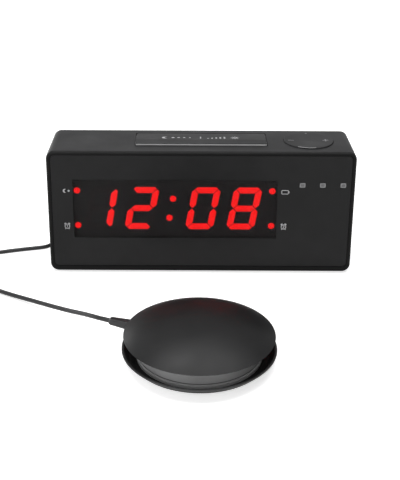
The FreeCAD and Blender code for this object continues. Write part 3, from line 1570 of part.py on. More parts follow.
def make_shaker_cap():
    cap = body("ShakerCap")
    section = sketch(cap, "XZ", "CapSection")
    centre = "cap_top - cap_sphere"
    corners = [("0", "cap_rim_z"), ("cap_radius", "cap_rim_z"), ("0", "cap_top")]
    draw_profile(section, corners, arcs={1: ("0", centre)})
    revolve(cap, section)
    inside = sketch(cap, "XZ", "CapInside")
    inner_rim = "waist_radius - waist_wall"
    inner_level = "%s + sqrt((cap_sphere - cap_wall) ^ 2 - (%s) ^ 2)" % (centre, inner_rim)
    low = "cap_rim_z - cut_overrun"
    corners = [("0", low), (inner_rim, low), (inner_rim, inner_level), ("0", "cap_top - cap_wall")]
    draw_profile(inside, corners, arcs={2: ("0", centre)})
    revolve(cap, inside, groove=True)
    post_reach = "(puck_boss_circle + puck_boss_radius)"
    post_top = "%s + sqrt(cap_sphere ^ 2 - %s ^ 2) - cap_wall / 20" % (centre, post_reach)
    posts(cap, "CapPosts", "XY", "dish_floor_z", puck_boss_places(), "puck_boss_radius",
          "%s - dish_floor_z" % post_top)
    holes(cap, "CapPilots", "XY", "dish_floor_z", puck_boss_places(), "puck_screw_radius",
          "puck_screw_length + cut_overrun")
    keep("shaker_cap", cap, "puck")


def make_shaker_waist():
    ring = body("ShakerWaist")
    section = sketch(ring, "XZ", "WaistSection")
    bottom = "dish_floor_z"
    draw_profile(section, [
        ("waist_radius - waist_wall", bottom),
        ("waist_radius + waist_foot", bottom),
        ("waist_radius + waist_foot", bottom + " + waist_foot_height"),
        ("waist_radius", bottom + " + waist_foot_height + waist_foot / 2"),
        ("waist_radius", "cap_rim_z"),
        ("waist_radius - waist_wall", "cap_rim_z"),
    ])
    revolve(ring, section)
    passage = sketch(ring, "XY", "CordPassage", "relief_z - relief_root_height / 2 - pin_gap")
    draw_cord_passage(passage)
    pocket(ring, passage, "relief_root_height + 2 * pin_gap")
    keep("shaker_waist", ring, "puck")


def draw_cord_passage(item):
    """The opening where the strain relief leaves the puck, square to the lead."""
    along = ("cos(relief_angle)", "sin(relief_angle)")
    points = []
    for reach, side in (("(waist_radius - 2 * waist_wall)", 1), ("(waist_radius - 2 * waist_wall)", -1),
                        ("(waist_radius + waist_wall)", -1), ("(waist_radius + waist_wall)", 1)):
        half = "(%d) * (relief_root_width / 2 + pin_gap)" % side
        points.append(("%s * %s - %s * %s" % (reach, along[0], half, along[1]),
                       "%s * %s + %s * %s" % (reach, along[1], half, along[0])))
    draw_profile(item, points)


def make_shaker_base():
    base = body("ShakerBase")
    section = sketch(base, "XZ", "BaseSection")
    draw_profile(section, [
        ("0", "puck_foot_height"),
        ("dish_base_radius", "puck_foot_height"),
        ("dish_radius", "dish_rim_z - dish_rim_width / 2"),
        ("dish_radius", "dish_rim_z"),
        ("dish_radius - dish_rim_width", "dish_rim_z"),
        ("waist_radius + 2 * waist_wall", "dish_floor_z"),
        ("0", "dish_floor_z"),
    ], arcs={1: ("dish_base_radius", base_arc_centre())})
    revolve(base, section)
    seat = sketch(base, "XY", "FootSeat", "puck_foot_height - cut_overrun")
    draw_circle(seat, "0", "0", "puck_foot_outer + pin_gap")
    draw_circle(seat, "0", "0", "puck_foot_inner - pin_gap")
    pocket(base, seat, "puck_foot_seat + cut_overrun")
    holes(base, "BaseHoles", "XY", "puck_foot_height - cut_overrun", puck_boss_places(),
          "puck_screw_radius + pin_gap", "dish_floor_z + cut_overrun")
    holes(base, "BaseSinks", "XY", "puck_foot_height - cut_overrun", puck_boss_places(),
          "puck_head_radius + pin_gap", "puck_head_height + assembly_gap + cut_overrun")
    cradle = sketch(base, "XY", "MotorCradle", "dish_floor_z - puck_foot_height / 2")
    for x in ("motor_rear_x + cradle_end", "motor_front_x - cradle_end - cradle_wall"):
        low = (x, "-motor_radius - cradle_wall")
        draw_rectangle(cradle, low, (x + " + cradle_wall", "motor_radius + cradle_wall"))
    pad(base, cradle, "cradle_height + puck_foot_height / 2")
    hollow = sketch(base, "YZ", "MotorHollow", "motor_rear_x")
    low = ("-motor_radius - pin_gap", "motor_axis_z - motor_height / 2 - pin_gap")
    high = ("motor_radius + pin_gap", "motor_axis_z + motor_height")
    draw_rectangle(hollow, low, high)
    pocket(base, hollow, "motor_length")
    pads = sketch(base, "XY", "ClampPads", "dish_floor_z - puck_foot_height / 2")
    for side in ("", "-"):
        draw_rectangle(pads, *around((clamp_x(), side + clamp_screw_y()), ("clamp_width", "clamp_foot")))
    pad(base, pads, "clamp_pad + puck_foot_height / 2")
    places = [(clamp_x(), side + clamp_screw_y()) for side in ("", "-")]
    holes(base, "ClampPilots", "XY", "dish_floor_z", places, "clamp_screw_radius + pin_gap",
          "clamp_pad + cut_overrun")
    keep("shaker_base", base, "puck")


def base_arc_centre():
    """The height of the middle of the round under the rim, level with where the round meets the base."""
    rise = "(dish_rim_z - dish_rim_width / 2 - puck_foot_height)"
    run = "(dish_radius - dish_base_radius)"
    return "puck_foot_height + (%s ^ 2 + %s ^ 2) / (2 * %s)" % (run, rise, rise)


def clamp_x():
    """The middle of the strap over the motor."""
    return "(motor_rear_x + motor_length / 2)"


def clamp_screw_y():
    """The middle of the strap's feet."""
    return "(motor_radius + clamp_thickness + clamp_foot / 2)"


def make_puck_feet():
    height = "puck_foot_height + puck_foot_seat"
    outer = rod("FootOuter", ("0", "0", "0"), "Z", "puck_foot_outer", height)
    inner = rod("FootInner", ("0", "0", "-cut_overrun"), "Z", "puck_foot_inner",
                height + " + 2 * cut_overrun")
    keep("shaker_foot", cut("PuckFootRing", outer, [inner]), "puck")


def make_motor():
    can = rod("MotorCan", ("motor_rear_x", "0", "motor_axis_z"), "X", "motor_radius", "motor_length")
    low = ("motor_rear_x", "-motor_radius", "motor_axis_z - motor_height / 2")
    high = ("motor_front_x", "motor_radius", "motor_axis_z + motor_height / 2")
    flats = document.addObject("Part::Common", "MotorBody")
    flats.Base = can
    flats.Tool = block("MotorFlats", low, high)
    collar = rod("MotorCollar", ("motor_front_x - assembly_gap", "0", "motor_axis_z"), "X",
                 "motor_collar_radius", "motor_collar_length + assembly_gap")
    keep("vibration_motor", fuse("VibrationMotor", [flats, collar]), "puck")

    shaft_start = "motor_front_x + motor_collar_length + pin_gap"
    shaft = rod("MotorShaft", (shaft_start, "0", "motor_axis_z"), "X", "shaft_radius",
                "shaft_length - motor_collar_length")
    start = shaft_start + " + shaft_length - motor_collar_length - weight_length"
    disc = rod("WeightDisc", (start, "0", "motor_axis_z"), "X", "weight_radius", "weight_length")
    low = (start + " - cut_overrun", "-weight_radius - cut_overrun", "motor_axis_z")
    high = (start + " + weight_length + cut_overrun", "weight_radius + cut_overrun",
            "motor_axis_z + weight_radius + cut_overrun")
    half = cut("WeightHalf", disc, [block("WeightCut", low, high)])
    hub = rod("WeightHub", (start, "0", "motor_axis_z"), "X", "weight_hub_radius", "weight_length")
    keep("eccentric_weight", fuse("EccentricWeight", [half, hub, shaft]), "puck")


def mirrored(points):
    """The same points on the other side of the upright axis."""
    return [("-(%s)" % x, y) for x, y in points]


def make_motor_clamp():
    strap = body("MotorClamp")
    section = sketch(strap, "YZ", "ClampSection", clamp_x() + " - clamp_width / 2")
    inner = "motor_radius + assembly_gap"
    outer = "motor_radius + assembly_gap + clamp_thickness"
    toe = "motor_radius + clamp_thickness + clamp_foot"
    low = "dish_floor_z + clamp_pad"
    under = "motor_axis_z + motor_height / 2 + assembly_gap"
    shoulder = under + " - clamp_foot / 2"
    inside = [(inner, low), (inner, shoulder), (inner + " - clamp_foot / 2", under)]
    outside = [(toe, low), (toe, low + " + clamp_thickness"), (outer, low + " + clamp_thickness"),
               (outer, shoulder), (outer + " - clamp_foot / 2", under + " + clamp_thickness")]
    outline = inside + mirrored(inside[::-1]) + mirrored(outside) + outside[::-1]
    draw_profile(section, outline)
    pad(strap, section, "clamp_width")
    places = [(clamp_x(), side + clamp_screw_y()) for side in ("", "-")]
    holes(strap, "ClampHoles", "XY", low + " - cut_overrun", places, "clamp_screw_radius + pin_gap",
          "clamp_thickness + 2 * cut_overrun")
    keep("motor_clamp", strap, "puck")
    head_z = low + " + clamp_thickness + clamp_head_height"
    screws = [
        screw("ClampScrew%d" % index, (x, y, head_z), "-Z", "clamp_head_radius", "clamp_head_height",
              "clamp_screw_radius", "clamp_thickness + clamp_pad / 2")
        for index, (x, y) in enumerate(places)
    ]
    keep("clamp_screws", group("ClampScrews", screws), "puck")


def make_puck_screws():
    screws = [
        screw("PuckScrew%d" % index, (x, y, "puck_foot_height + assembly_gap"), "Z", "puck_head_radius",
              "puck_head_height", "puck_screw_radius - pin_gap", "puck_screw_length")
        for index, (x, y) in enumerate(puck_boss_places())
    ]
    keep("shaker_screws", group("ShakerScrews", screws), "puck")


def make_motor_leads():
    """The two wires from the lead's inner end to the motor."""
    solids = []
    angle = math.radians(mm("relief_angle"))
    along = FreeCAD.Vector(math.cos(angle), math.sin(angle), 0)
    across = FreeCAD.Vector(-along.y, along.x, 0)
    inner = mm("waist_radius - 2 * waist_wall")
    level = FreeCAD.Vector(0, 0, mm("relief_z"))
    radius = mm("lead_wire_radius")
    for side in (1, -1):
        start = along * inner + across * (side * 2 * radius) + level
        bend = start - along * mm("waist_wall * 2")
        end = FreeCAD.Vector(mm("motor_rear_x"), side * mm("motor_radius / 2"), mm("motor_axis_z"))
        turn = FreeCAD.Vector(end.x - mm("waist_wall * 2"), end.y, end.z)
        solids.append(tube([start, bend, turn, end], radius))
    keep("motor_leads", solid_piece("MotorLeads", solids), "puck")


def tube(points, radius):
    """A round tube along straight runs joined by tangent arcs."""
    return sleeve(rounded_wire(points), (points[1] - points[0]).normalize(), radius)


def sleeve(wire, direction, radius):
    """A round tube along a smooth wire that starts in a direction."""
    start = wire.Vertexes[0].Point
    profile = Part.Wire([Part.Circle(start, direction, radius).toShape()])
    return wire.makePipeShell([profile], True, False)


# Shaker lead

# The lead's two free stretches, in the clock's frame, chosen by hand
PLUG_LEAD_ROUTE = [
    (-69.0, 65.4, 12.0),
    (-69.0, 72.4, 12.0),
    (-72.8, 78.9, 11.2),
    (-79.2, 82.6, 9.0),
    (-86.8, 82.6, 6.2),
    (-93.2, 78.9, 3.8),
    (-96.8, 72.4, 2.0),
    (-97.6, 62.0, 1.15),
    (-96.4, 50.0, 1.15),
    (-95.9, 42.6, 1.15),
    (-95.8, 38.4, 1.15),
    (-97.3, 35.1, 1.15),
    (-100.1, 32.8, 1.15),
    (-107.0, 31.0, 1.15),
    (-118.2, 28.0, 1.15),
    (-130.0, 24.0, 1.15),
    (-137.4, 20.6, 1.4),
    (-146.5, 18.4, 2.05),
    (-152.7, 18.4, 2.05),
]
SHAKER_LEAD_ROUTE = [
    (-49.08, -78.49, 11.0),
    (-54.62, -76.2, 11.0),
    (-62.5, -68.6, 9.0),
    (-76.5, -56.8, 5.4),
    (-96.8, -41.2, 2.5),
    (-117.7, -27.8, 1.15),
    (-132.0, -22.0, 4.4),
    (-143.5, -20.4, 10.45),
    (-152.7, -20.4, 10.45),
]

# The put-away coil: its turns from the plug's end to the puck's, and the widest step count of its spiral
coil_turns = 17.5
coil_swing = 4.5
coil_climbs = (4.25, 8.75, 13.25)


def coil_knot(turn):
    """The middle of the cord and its way, after so many turns of the coil. The spiral runs in and out at a
    steady rate and climbs one layer in the half turn about each place where it reverses."""
    pitch = mm("coil_pitch")
    angle = math.pi / 2 + 2 * math.pi * turn
    swing = (turn + coil_swing - coil_climbs[0]) % (2 * coil_swing) - coil_swing
    reach = mm("coil_inner_radius") + pitch * abs(swing)
    climbing = turn in coil_climbs
    layers = sum(0.5 if turn == climb else 1 for climb in coil_climbs if turn >= climb)
    outward = FreeCAD.Vector(math.cos(angle), math.sin(angle), 0)
    onward = FreeCAD.Vector(-math.sin(angle), math.cos(angle), 0)
    centre = FreeCAD.Vector(mm("coil_x"), mm("coil_y"), mm("coil_lift + cord_radius") + pitch * layers)
    spread = 0 if climbing or turn in (0, coil_turns) else math.copysign(pitch, swing) / (2 * math.pi)
    climb = 2 * pitch / math.pi if climbing else 0
    way = onward * reach + outward * spread + FreeCAD.Vector(0, 0, climb)
    return centre + outward * reach, way.normalize()


def arc_between(start, way, end):
    """The middle of the arc that leaves a place along a way and ends at another place."""
    chord = end - start
    along = chord.dot(way) / chord.Length
    side = (way - chord.normalize() * along).normalize()
    length = start.distanceToPoint(end)
    return (start + end) * 0.5 + side * (length / 2 * math.tan(math.acos(along) / 2))


def biarc(first, second):
    """Two arcs that join two knots, tangent to each other and to the way at each knot."""
    (start, start_way), (end, end_way) = first, second
    chord = end - start
    lean = chord.dot(start_way + end_way)
    spread = 2 * (1 - start_way.dot(end_way))
    reach = (math.sqrt(lean ** 2 + spread * chord.dot(chord)) - lean) / spread
    joint = (start + start_way * reach + end - end_way * reach) * 0.5
    return [Part.Arc(start, arc_between(start, start_way, joint), joint).toShape(),
            Part.Arc(joint, arc_between(end, end_way * -1, joint), end).toShape()]


def coil_wire():
    """The middle line of the put-away coil, with a straight end of one diameter at each end."""
    half_turns = [index / 2 for index in range(int(2 * coil_turns) + 1)]
    knots = [coil_knot(turn) for turn in sorted(half_turns + list(coil_climbs))]
    stub = mm("cord_diameter")
    (start, start_way), (end, end_way) = knots[0], knots[-1]
    edges = [Part.LineSegment(start - start_way * stub, start).toShape()]
    for first, second in zip(knots, knots[1:]):
        edges += biarc(first, second)
    edges.append(Part.LineSegment(end, end + end_way * stub).toShape())
    return Part.Wire(edges)


def least_gap(wire, diameter):
    """The least clear distance between two turns of a wound cord, measured on points along it."""
    step = diameter / 4
    points = wire.discretize(Distance=step)
    apart = int(6 * diameter / step)
    cells = {}
    least = math.inf
    for index, point in enumerate(points):
        cell = tuple(int(value // (2 * diameter)) for value in point)
        for near in neighbours(cell):
            for other in cells.get(near, []):
                if index - other > apart:
                    least = min(least, point.distanceToPoint(points[other]))
        cells.setdefault(cell, []).append(index)
    return least - diameter


def neighbours(cell):
    """A cell of a grid and the cells round it."""
    steps = (-1, 0, 1)
    return [(cell[0] + x, cell[1] + y, cell[2] + z) for x in steps for y in steps for z in steps]


def print_radii(label, points):
    """The radius of each arc of a route."""
    radii = []
    for before, corner, after in zip(points, points[1:], points[2:]):
        half_turn = (corner - before).getAngle(after - corner) / 2
        short = min(before.distanceToPoint(corner), corner.distanceToPoint(after))
        radii.append(arc_share * short / math.tan(half_turn))
    print(label, "arc radii:", " ".join("%.1f" % radius for radius in radii))


def keep_cord(label, solid, length):
    """A piece of the lead in the frame of the set, with its volume against its section times its length."""
    item = solid_piece("".join(word.capitalize() for word in label.split("_")), [solid])
    section = math.pi * mm("cord_radius") ** 2
    print("%s length %.1f, volume share %.4f" % (label, length, solid.Volume / (section * length)))
    keep(label, item, "clock")


def make_leads():
    radius = mm("cord_radius")
    for label, route in (("plug_lead", PLUG_LEAD_ROUTE), ("shaker_lead", SHAKER_LEAD_ROUTE)):
        points = [FreeCAD.Vector(*point) for point in route]
        print_radii(label, points)
        keep_cord(label, tube(points, radius), rounded_wire(points).Length)
    wire = coil_wire()
    print("lead_coil least gap %.3f" % least_gap(wire, mm("cord_diameter")))
    keep_cord("lead_coil", sleeve(wire, coil_knot(0)[1], radius), wire.Length)


def make_lead_tie():
    """A strap round the coil's section on its far side."""
    tie = body("LeadTie")
    section = sketch(tie, "XZ", "TieSection", "coil_y - tie_width / 2")
    left = "coil_x - coil_inner_radius - 4 * coil_pitch - cord_radius - assembly_gap"
    right = "coil_x - coil_inner_radius + cord_radius + tie_width / 8 + assembly_gap"
    top = "coil_lift + 3 * coil_pitch + cord_diameter + assembly_gap"
    outer_high = (right + " + tie_thickness", top + " + tie_thickness")
    draw_rounded(section, (left + " - tie_thickness", "0"), outer_high, "tie_thickness + coil_lift")
    draw_rounded(section, (left, "tie_thickness"), (right, top), "coil_lift")
    pad(tie, section, "tie_width")
    keep("lead_tie", tie, "clock")


def make_shaker_plug():
    """The plug in the clock's shaker jack: a pin with a neck and a point, a ribbed grip and a ringed tail."""
    plug = body("ShakerPlug")
    section = sketch(plug, "XZ", "PlugSection")
    pin, grip, tail = "plug_barrel_radius", "plug_grip_radius", "plug_relief_radius"
    points = [
        ("0", "-plug_barrel_length"),
        (pin + " / 3", "-plug_barrel_length"),
        (pin, "-plug_barrel_length + plug_barrel_radius"),
        (pin + " * 2 / 3", "-plug_barrel_length + plug_barrel_radius * 3 / 2"),
        (pin + " * 2 / 3", "-plug_barrel_length + plug_barrel_radius * 2"),
        (pin, "-plug_barrel_length + plug_barrel_radius * 2"),
        (pin, "0"),
        (grip + " * 5 / 6", "0"),
        (grip, "plug_grip_radius / 6"),
    ]
    ribs = 5
    for rib in range(ribs):
        low = "plug_grip_length * %d / %d" % (rib + 3, ribs + 4)
        high = "plug_grip_length * %d / %d" % (2 * rib + 7, 2 * ribs + 8)
        points += [(grip, low), (grip + " * 11 / 12", low), (grip + " * 11 / 12", high), (grip, high)]
    points += [(grip, "plug_grip_length - plug_grip_radius / 6"), (grip + " * 5 / 6", "plug_grip_length")]
    rings = 3
    core = tail + " * 4 / 5"
    end = "plug_grip_length + plug_relief_length"
    for ring in range(rings):
        radius = "%s + (%s * 4 / 5 - %s) * %d / %d" % (tail, grip, tail, rings - ring, rings)
        low, high, following = [
            "plug_grip_length + plug_relief_length * %d / %d" % (2 * ring + step, 2 * rings + 1)
            for step in range(3)
        ]
        points += [(radius, low), (radius, high), (core, high), (core, following)]
    points += [(tail, following), (tail, end), ("0", end)]
    draw_profile(section, points)
    revolve(plug, section)
    plug.Placement.Rotation = FreeCAD.Rotation(FreeCAD.Vector(0, 0, 1), FreeCAD.Vector(0, 1, 0))
    place(plug, "-shaker_jack_x", "case_depth + plug_grip_gap", "jack_z")
    keep("shaker_plug", group("ShakerPlugPiece", [plug]), "clock")


def make_strain_relief():
    """A flat tapering sleeve with a flange inside the puck's waist, where the lead comes out."""
    relief = body("StrainRelief")
    wall_inside = "(waist_radius - 2 * waist_wall)"
    shoulder = "(relief_reach - relief_edge_radius)"
    stations = [
        (wall_inside, "relief_root_width", "relief_root_height", "relief_edge_radius"),
        (shoulder, "relief_tip_width", "relief_tip_height", "relief_edge_radius"),
        ("relief_reach", "(relief_tip_width - relief_edge_radius)",
         "(relief_tip_height - relief_edge_radius)", "relief_edge_radius / 2"),
    ]
    sections = []
    for index, (reach, width, height, corner) in enumerate(stations):
        section = sketch(relief, "YZ", "ReliefSection%d" % index, reach)
        draw_rounded(section, *around(("0", "relief_z"), (width, height)), corner)
        section.Visibility = False
        sections.append(section)
    document.recompute()
    loft = relief.newObject("PartDesign::AdditiveLoft", "ReliefLoft")
    loft.Profile = sections[0]
    loft.Sections = sections[1:]
    loft.Ruled = True
    flange = sketch(relief, "YZ", "ReliefFlange", wall_inside)
    flange_size = ("relief_root_width + waist_wall", "relief_root_height + waist_wall")
    draw_rounded(flange, *around(("0", "relief_z"), flange_size), "relief_edge_radius")
    pad(relief, flange, "waist_wall * 3 / 4")
    relief.setExpression("Placement.Rotation.Angle", linked("relief_angle"))
    keep("shaker_strain_relief", relief, "puck")


def write_parts():
    """Check every object and write one file for each piece."""
    document.recompute()
    faults = []
    for item in document.Objects:
        if any(state in item.State for state in ("Invalid", "Error")):
            faults.append(item.Name)
    for label, item in nodes.items():
        shape = item.Shape
        if shape.isNull() or not shape.isValid() or not shape.Solids:
            faults.append(label)
    if faults:
        raise ValueError("failed: " + ", ".join(faults))
    os.makedirs("parts", exist_ok=True)
    for label, item in nodes.items():
        item.Shape.exportStep("parts/%s.step" % label)


make_case_shell()
make_rear_cover()
make_front_lens()
make_display_filter()
make_display()
make_status_windows()
make_snooze_bar()
make_snooze_switch()
make_key_board()
make_control_pad()
make_main_board()
make_connectors()
make_mode_switch()
make_rear_buttons()
make_speaker()
make_backup_cells()
make_cell_contacts()
make_battery_door()
make_ribbons()
make_clock_screws()
make_clock_feet()
make_shaker_cap()
make_shaker_waist()
make_shaker_base()
make_puck_feet()
make_motor()
make_motor_clamp()
make_puck_screws()
make_motor_leads()
make_shaker_plug()
make_leads()
make_lead_tie()
make_strain_relief()
write_parts()
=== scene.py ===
import math
import bmesh
import bpy
from mathutils import Matrix, Vector
from mathutils.bvhtree import BVHTree


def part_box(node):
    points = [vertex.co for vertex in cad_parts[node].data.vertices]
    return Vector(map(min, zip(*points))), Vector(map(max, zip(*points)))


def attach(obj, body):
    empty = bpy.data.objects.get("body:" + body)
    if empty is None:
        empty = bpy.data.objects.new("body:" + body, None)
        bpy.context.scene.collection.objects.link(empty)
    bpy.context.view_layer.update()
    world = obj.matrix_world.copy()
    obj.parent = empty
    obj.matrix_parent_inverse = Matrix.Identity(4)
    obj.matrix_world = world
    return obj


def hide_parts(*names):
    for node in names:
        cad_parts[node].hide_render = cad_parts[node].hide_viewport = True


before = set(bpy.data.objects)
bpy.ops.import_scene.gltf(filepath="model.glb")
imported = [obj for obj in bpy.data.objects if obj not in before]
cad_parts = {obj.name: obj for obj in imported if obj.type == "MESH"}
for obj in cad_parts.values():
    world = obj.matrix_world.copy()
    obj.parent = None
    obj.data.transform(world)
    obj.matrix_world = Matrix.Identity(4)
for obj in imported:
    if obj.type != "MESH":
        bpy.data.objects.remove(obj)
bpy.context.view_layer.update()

MM = 0.001
CLOCK_FRONT = 48.6
# Half the width over the corners of the cord's tube, which has flat sides and so is thinner between them
CORD_RADIUS = 1.23


def clock_point(x, y, z):
    """A place in the clock's own frame, in millimetres, as a place in the set, in metres."""
    return Vector((x, y + CLOCK_FRONT, z)) * MM


# Camera: the photograph's angle

SENSOR_WIDTH = 36.0
FOCAL_LENGTH = 72.37
CAMERA_SHIFT = (0.0235, -0.1508)
CAMERA_PLACE = (-0.0074, -0.4824, 0.2687)
LOOKING_DOWN = 20.64
CAMERA_ROLL = 0.26


def make_camera():
    data = bpy.data.cameras.new("Camera")
    data.sensor_width = SENSOR_WIDTH
    data.lens = FOCAL_LENGTH
    data.shift_x, data.shift_y = CAMERA_SHIFT
    camera = bpy.data.objects.new("Camera", data)
    bpy.context.collection.objects.link(camera)
    tilt = Matrix.Rotation(math.radians(90 - LOOKING_DOWN), 4, "X")
    roll = Matrix.Rotation(math.radians(CAMERA_ROLL), 4, "Z")
    camera.matrix_world = Matrix.Translation(CAMERA_PLACE) @ tilt @ roll
    bpy.context.scene.camera = camera


make_camera()


# Lead between the puck and the clock

SHAKER_LEAD_ROUTE = [
    (-49.08, -78.49, 11.0),
    (-54.62, -76.2, 11.0),
    (-62.5, -68.6, 9.0),
    (-76.5, -56.8, 5.4),
    (-96.8, -41.2, 2.5),
    (-117.7, -27.8, 1.15),
    (-132.0, -22.0, 4.4),
    (-143.5, -20.4, 10.45),
    (-152.7, -20.4, 10.45),
]
PLUG_LEAD_ROUTE = [
    (-69.0, 65.4, 12.0),
    (-69.0, 72.4, 12.0),
    (-72.8, 78.9, 11.2),
    (-79.2, 82.6, 9.0),
    (-86.8, 82.6, 6.2),
    (-93.2, 78.9, 3.8),
    (-96.8, 72.4, 2.0),
    (-97.6, 62.0, 1.15),
    (-96.4, 50.0, 1.15),
    (-95.9, 42.6, 1.15),
    (-95.8, 38.4, 1.15),
    (-97.3, 35.1, 1.15),
    (-100.1, 32.8, 1.15),
    (-107.0, 31.0, 1.15),
    (-118.2, 28.0, 1.15),
    (-130.0, 24.0, 1.15),
    (-137.4, 20.6, 1.4),
    (-146.5, 18.4, 2.05),
    (-152.7, 18.4, 2.05),
]
COIL_CENTRE = (-155.0, -1.0)
COIL_INNER = 7.5
COIL_PITCH = 2.8
COIL_TURNS = 17.5
COIL_SWING = 4.5
COIL_CLIMBS = (4.25, 8.75, 13.25)
COIL_FLOOR = 2.05
POINTS_PER_TURN = 16


def coil_point(turn):
    """A control point of the coil's spiral, a little outside the line that it pulls the cord along."""
    angle = math.pi / 2 + 2 * math.pi * turn
    swing = (turn + COIL_SWING - COIL_CLIMBS[0]) % (2 * COIL_SWING) - COIL_SWING
    reach = (COIL_INNER + COIL_PITCH * abs(swing)) / math.cos(math.pi / POINTS_PER_TURN) ** 1.5
    layers = sum(min(max(2 * (turn - climb) + 0.5, 0), 1) for climb in COIL_CLIMBS)
    x = COIL_CENTRE[0] + reach * math.cos(angle)
    y = COIL_CENTRE[1] + reach * math.sin(angle)
    return (x, y, COIL_FLOOR + COIL_PITCH * layers)


def make_lead():
    steps = round(COIL_TURNS * POINTS_PER_TURN)
    turns = [coil_point(COIL_TURNS - (index + 0.5) / POINTS_PER_TURN) for index in range(steps)]
    route = SHAKER_LEAD_ROUTE + turns + PLUG_LEAD_ROUTE[::-1]
    curve = bpy.data.curves.new("shaker_cord", "CURVE")
    curve.dimensions = "3D"
    spline = curve.splines.new("NURBS")
    spline.points.add(len(route) - 1)
    for point, place in zip(spline.points, route):
        point.co = (*clock_point(*place), 1)
        point.radius = CORD_RADIUS * MM
    spline.order_u = 3
    spline.use_endpoint_u = True
    spline.resolution_u = 6
    curve.bevel_depth = 1.0
    curve.bevel_resolution = 4
    curve.use_fill_caps = True
    cord = bpy.data.objects.new("shaker_cord", curve)
    bpy.context.collection.objects.link(cord)
    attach(cord, "clock")
    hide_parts("plug_lead", "lead_coil", "shaker_lead")
    return cord


lead = make_lead()


# Printed marks, and painted highlights along edges, each laid on the surface that carries it

class Surface:
    """A node's faces, seen along one axis. A flat point (u, v) and a height off the face give a place."""

    def __init__(self, node, towards, start):
        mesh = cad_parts[node].data
        corners = [vertex.co for vertex in mesh.vertices]
        self.tree = BVHTree.FromPolygons(corners, [list(face.vertices) for face in mesh.polygons])
        self.towards = Vector(towards)
        self.start = start

    def place(self, u, v, height):
        if self.towards.z:
            origin = clock_point(u, v, self.start)
        else:
            origin = clock_point(u, self.start, v)
        spot = self.tree.ray_cast(origin, self.towards)[0]
        return spot - self.towards * height * MM


class Level:
    """A flat face at one depth, in front of pieces that have gaps between them."""

    def __init__(self, depth):
        self.depth = depth

    def place(self, u, v, height):
        return Vector((u * MM, self.depth - height * MM, v * MM))


def arc(centre, radius, start, end, steps):
    """Points of an arc. The angles are in degrees."""
    angles = [math.radians(start + (end - start) * index / steps) for index in range(steps + 1)]
    return [(centre[0] + radius * math.cos(angle), centre[1] + radius * math.sin(angle)) for angle in angles]


def circle(centre, radius, steps=20):
    return arc(centre, radius, 0, 360, steps)[:-1]


def rounded_box(centre, size, radius):
    points = []
    for turn, (across, up) in enumerate(((1, 1), (-1, 1), (-1, -1), (1, -1))):
        corner = (centre[0] + across * (size[0] / 2 - radius), centre[1] + up * (size[1] / 2 - radius))
        points += arc(corner, radius, turn * 90, turn * 90 + 90, 4)
    return points


def moved(points, centre, scale=1.0):
    return [(centre[0] + x * scale, centre[1] + y * scale) for x, y in points]


def sides_of(points, width, closed):
    """The two edges of a line of a given width."""
    left, right = [], []
    last = len(points) - 1
    for index, point in enumerate(points):
        before = points[index - 1] if index or closed else point
        after = points[(index + 1) % len(points)] if index < last or closed else point
        runs = [Vector(b) - Vector(a) for a, b in ((before, point), (point, after)) if a != b]
        normals = [Vector((-run.y, run.x)).normalized() for run in runs]
        normal = sum(normals, Vector((0, 0))).normalized()
        reach = min(width / 2 / max(normal.dot(normals[0]), 0.5), width)
        left.append(tuple(Vector(point) + normal * reach))
        right.append(tuple(Vector(point) - normal * reach))
    return left, right


SUNK = -0.04
PROUD = 0.05
# The way that a surface is looked at, and where the look starts
FROM_ABOVE = ((0, 0, -1), 120.0)
FROM_FRONT = ((0, 1, 0), -20.0)


class Print:
    """A flat design, built up as thin solids that stand a little proud of a surface."""

    def __init__(self, name, surface, proud=PROUD, sunk=SUNK):
        self.name = name
        self.surface = surface
        self.proud = proud
        self.sunk = sunk
        self.mesh = bmesh.new()

    def loop(self, points, height):
        return [self.mesh.verts.new(self.surface.place(u, v, height)) for u, v in points]

    def line(self, points, width, closed=False):
        left, right = sides_of(points, width, closed)
        loops = [self.loop(edge, height) for height in (self.proud, self.sunk)
                 for edge in (left, right)]
        top_left, top_right, low_left, low_right = loops
        count = len(points)
        for index in range(count if closed else count - 1):
            after = (index + 1) % count
            for one, two in ((top_left, top_right), (top_right, low_right), (low_right, low_left),
                             (low_left, top_left)):
                self.mesh.faces.new((one[index], one[after], two[after], two[index]))
        if not closed:
            for index in (0, -1):
                self.mesh.faces.new([edge[index] for edge in (top_left, top_right, low_right, low_left)])

    def ring(self, centre, radius, width):
        self.line(circle(centre, radius), width, closed=True)

    def patch(self, points):
        top, low = self.loop(points, self.proud), self.loop(points, self.sunk)
        self.mesh.faces.new(top)
        self.mesh.faces.new(low[::-1])
        for index in range(len(points)):
            self.mesh.faces.new((top[index - 1], low[index - 1], low[index], top[index]))

    def finish(self, body, slot):
        bmesh.ops.recalc_face_normals(self.mesh, faces=self.mesh.faces)
        mesh = bpy.data.meshes.new(self.name)
        self.mesh.to_mesh(mesh)
        self.mesh.free()
        item = bpy.data.objects.new(self.name, mesh)
        bpy.context.collection.objects.link(item)
        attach(item, body)
        return item


def draw_crescent(design, centre, radius):
    outer = arc((0, 0), radius, 60, 300, 18)
    inner = arc((radius * 0.62, 0), radius * 0.87, 264, 96, 14)
    design.patch(moved(outer + inner, centre))


def draw_numeral_one(design, centre, height, width):
    design.line(moved([(-0.22, 0.22), (0.04, 0.5), (0.04, -0.5)], centre, height), width)


def draw_numeral_two(design, centre, height, width):
    bowl = arc((0, 0.22), 0.28, 165, -35, 10)
    design.line(moved(bowl + [(-0.3, -0.5), (0.32, -0.5)], centre, height), width)


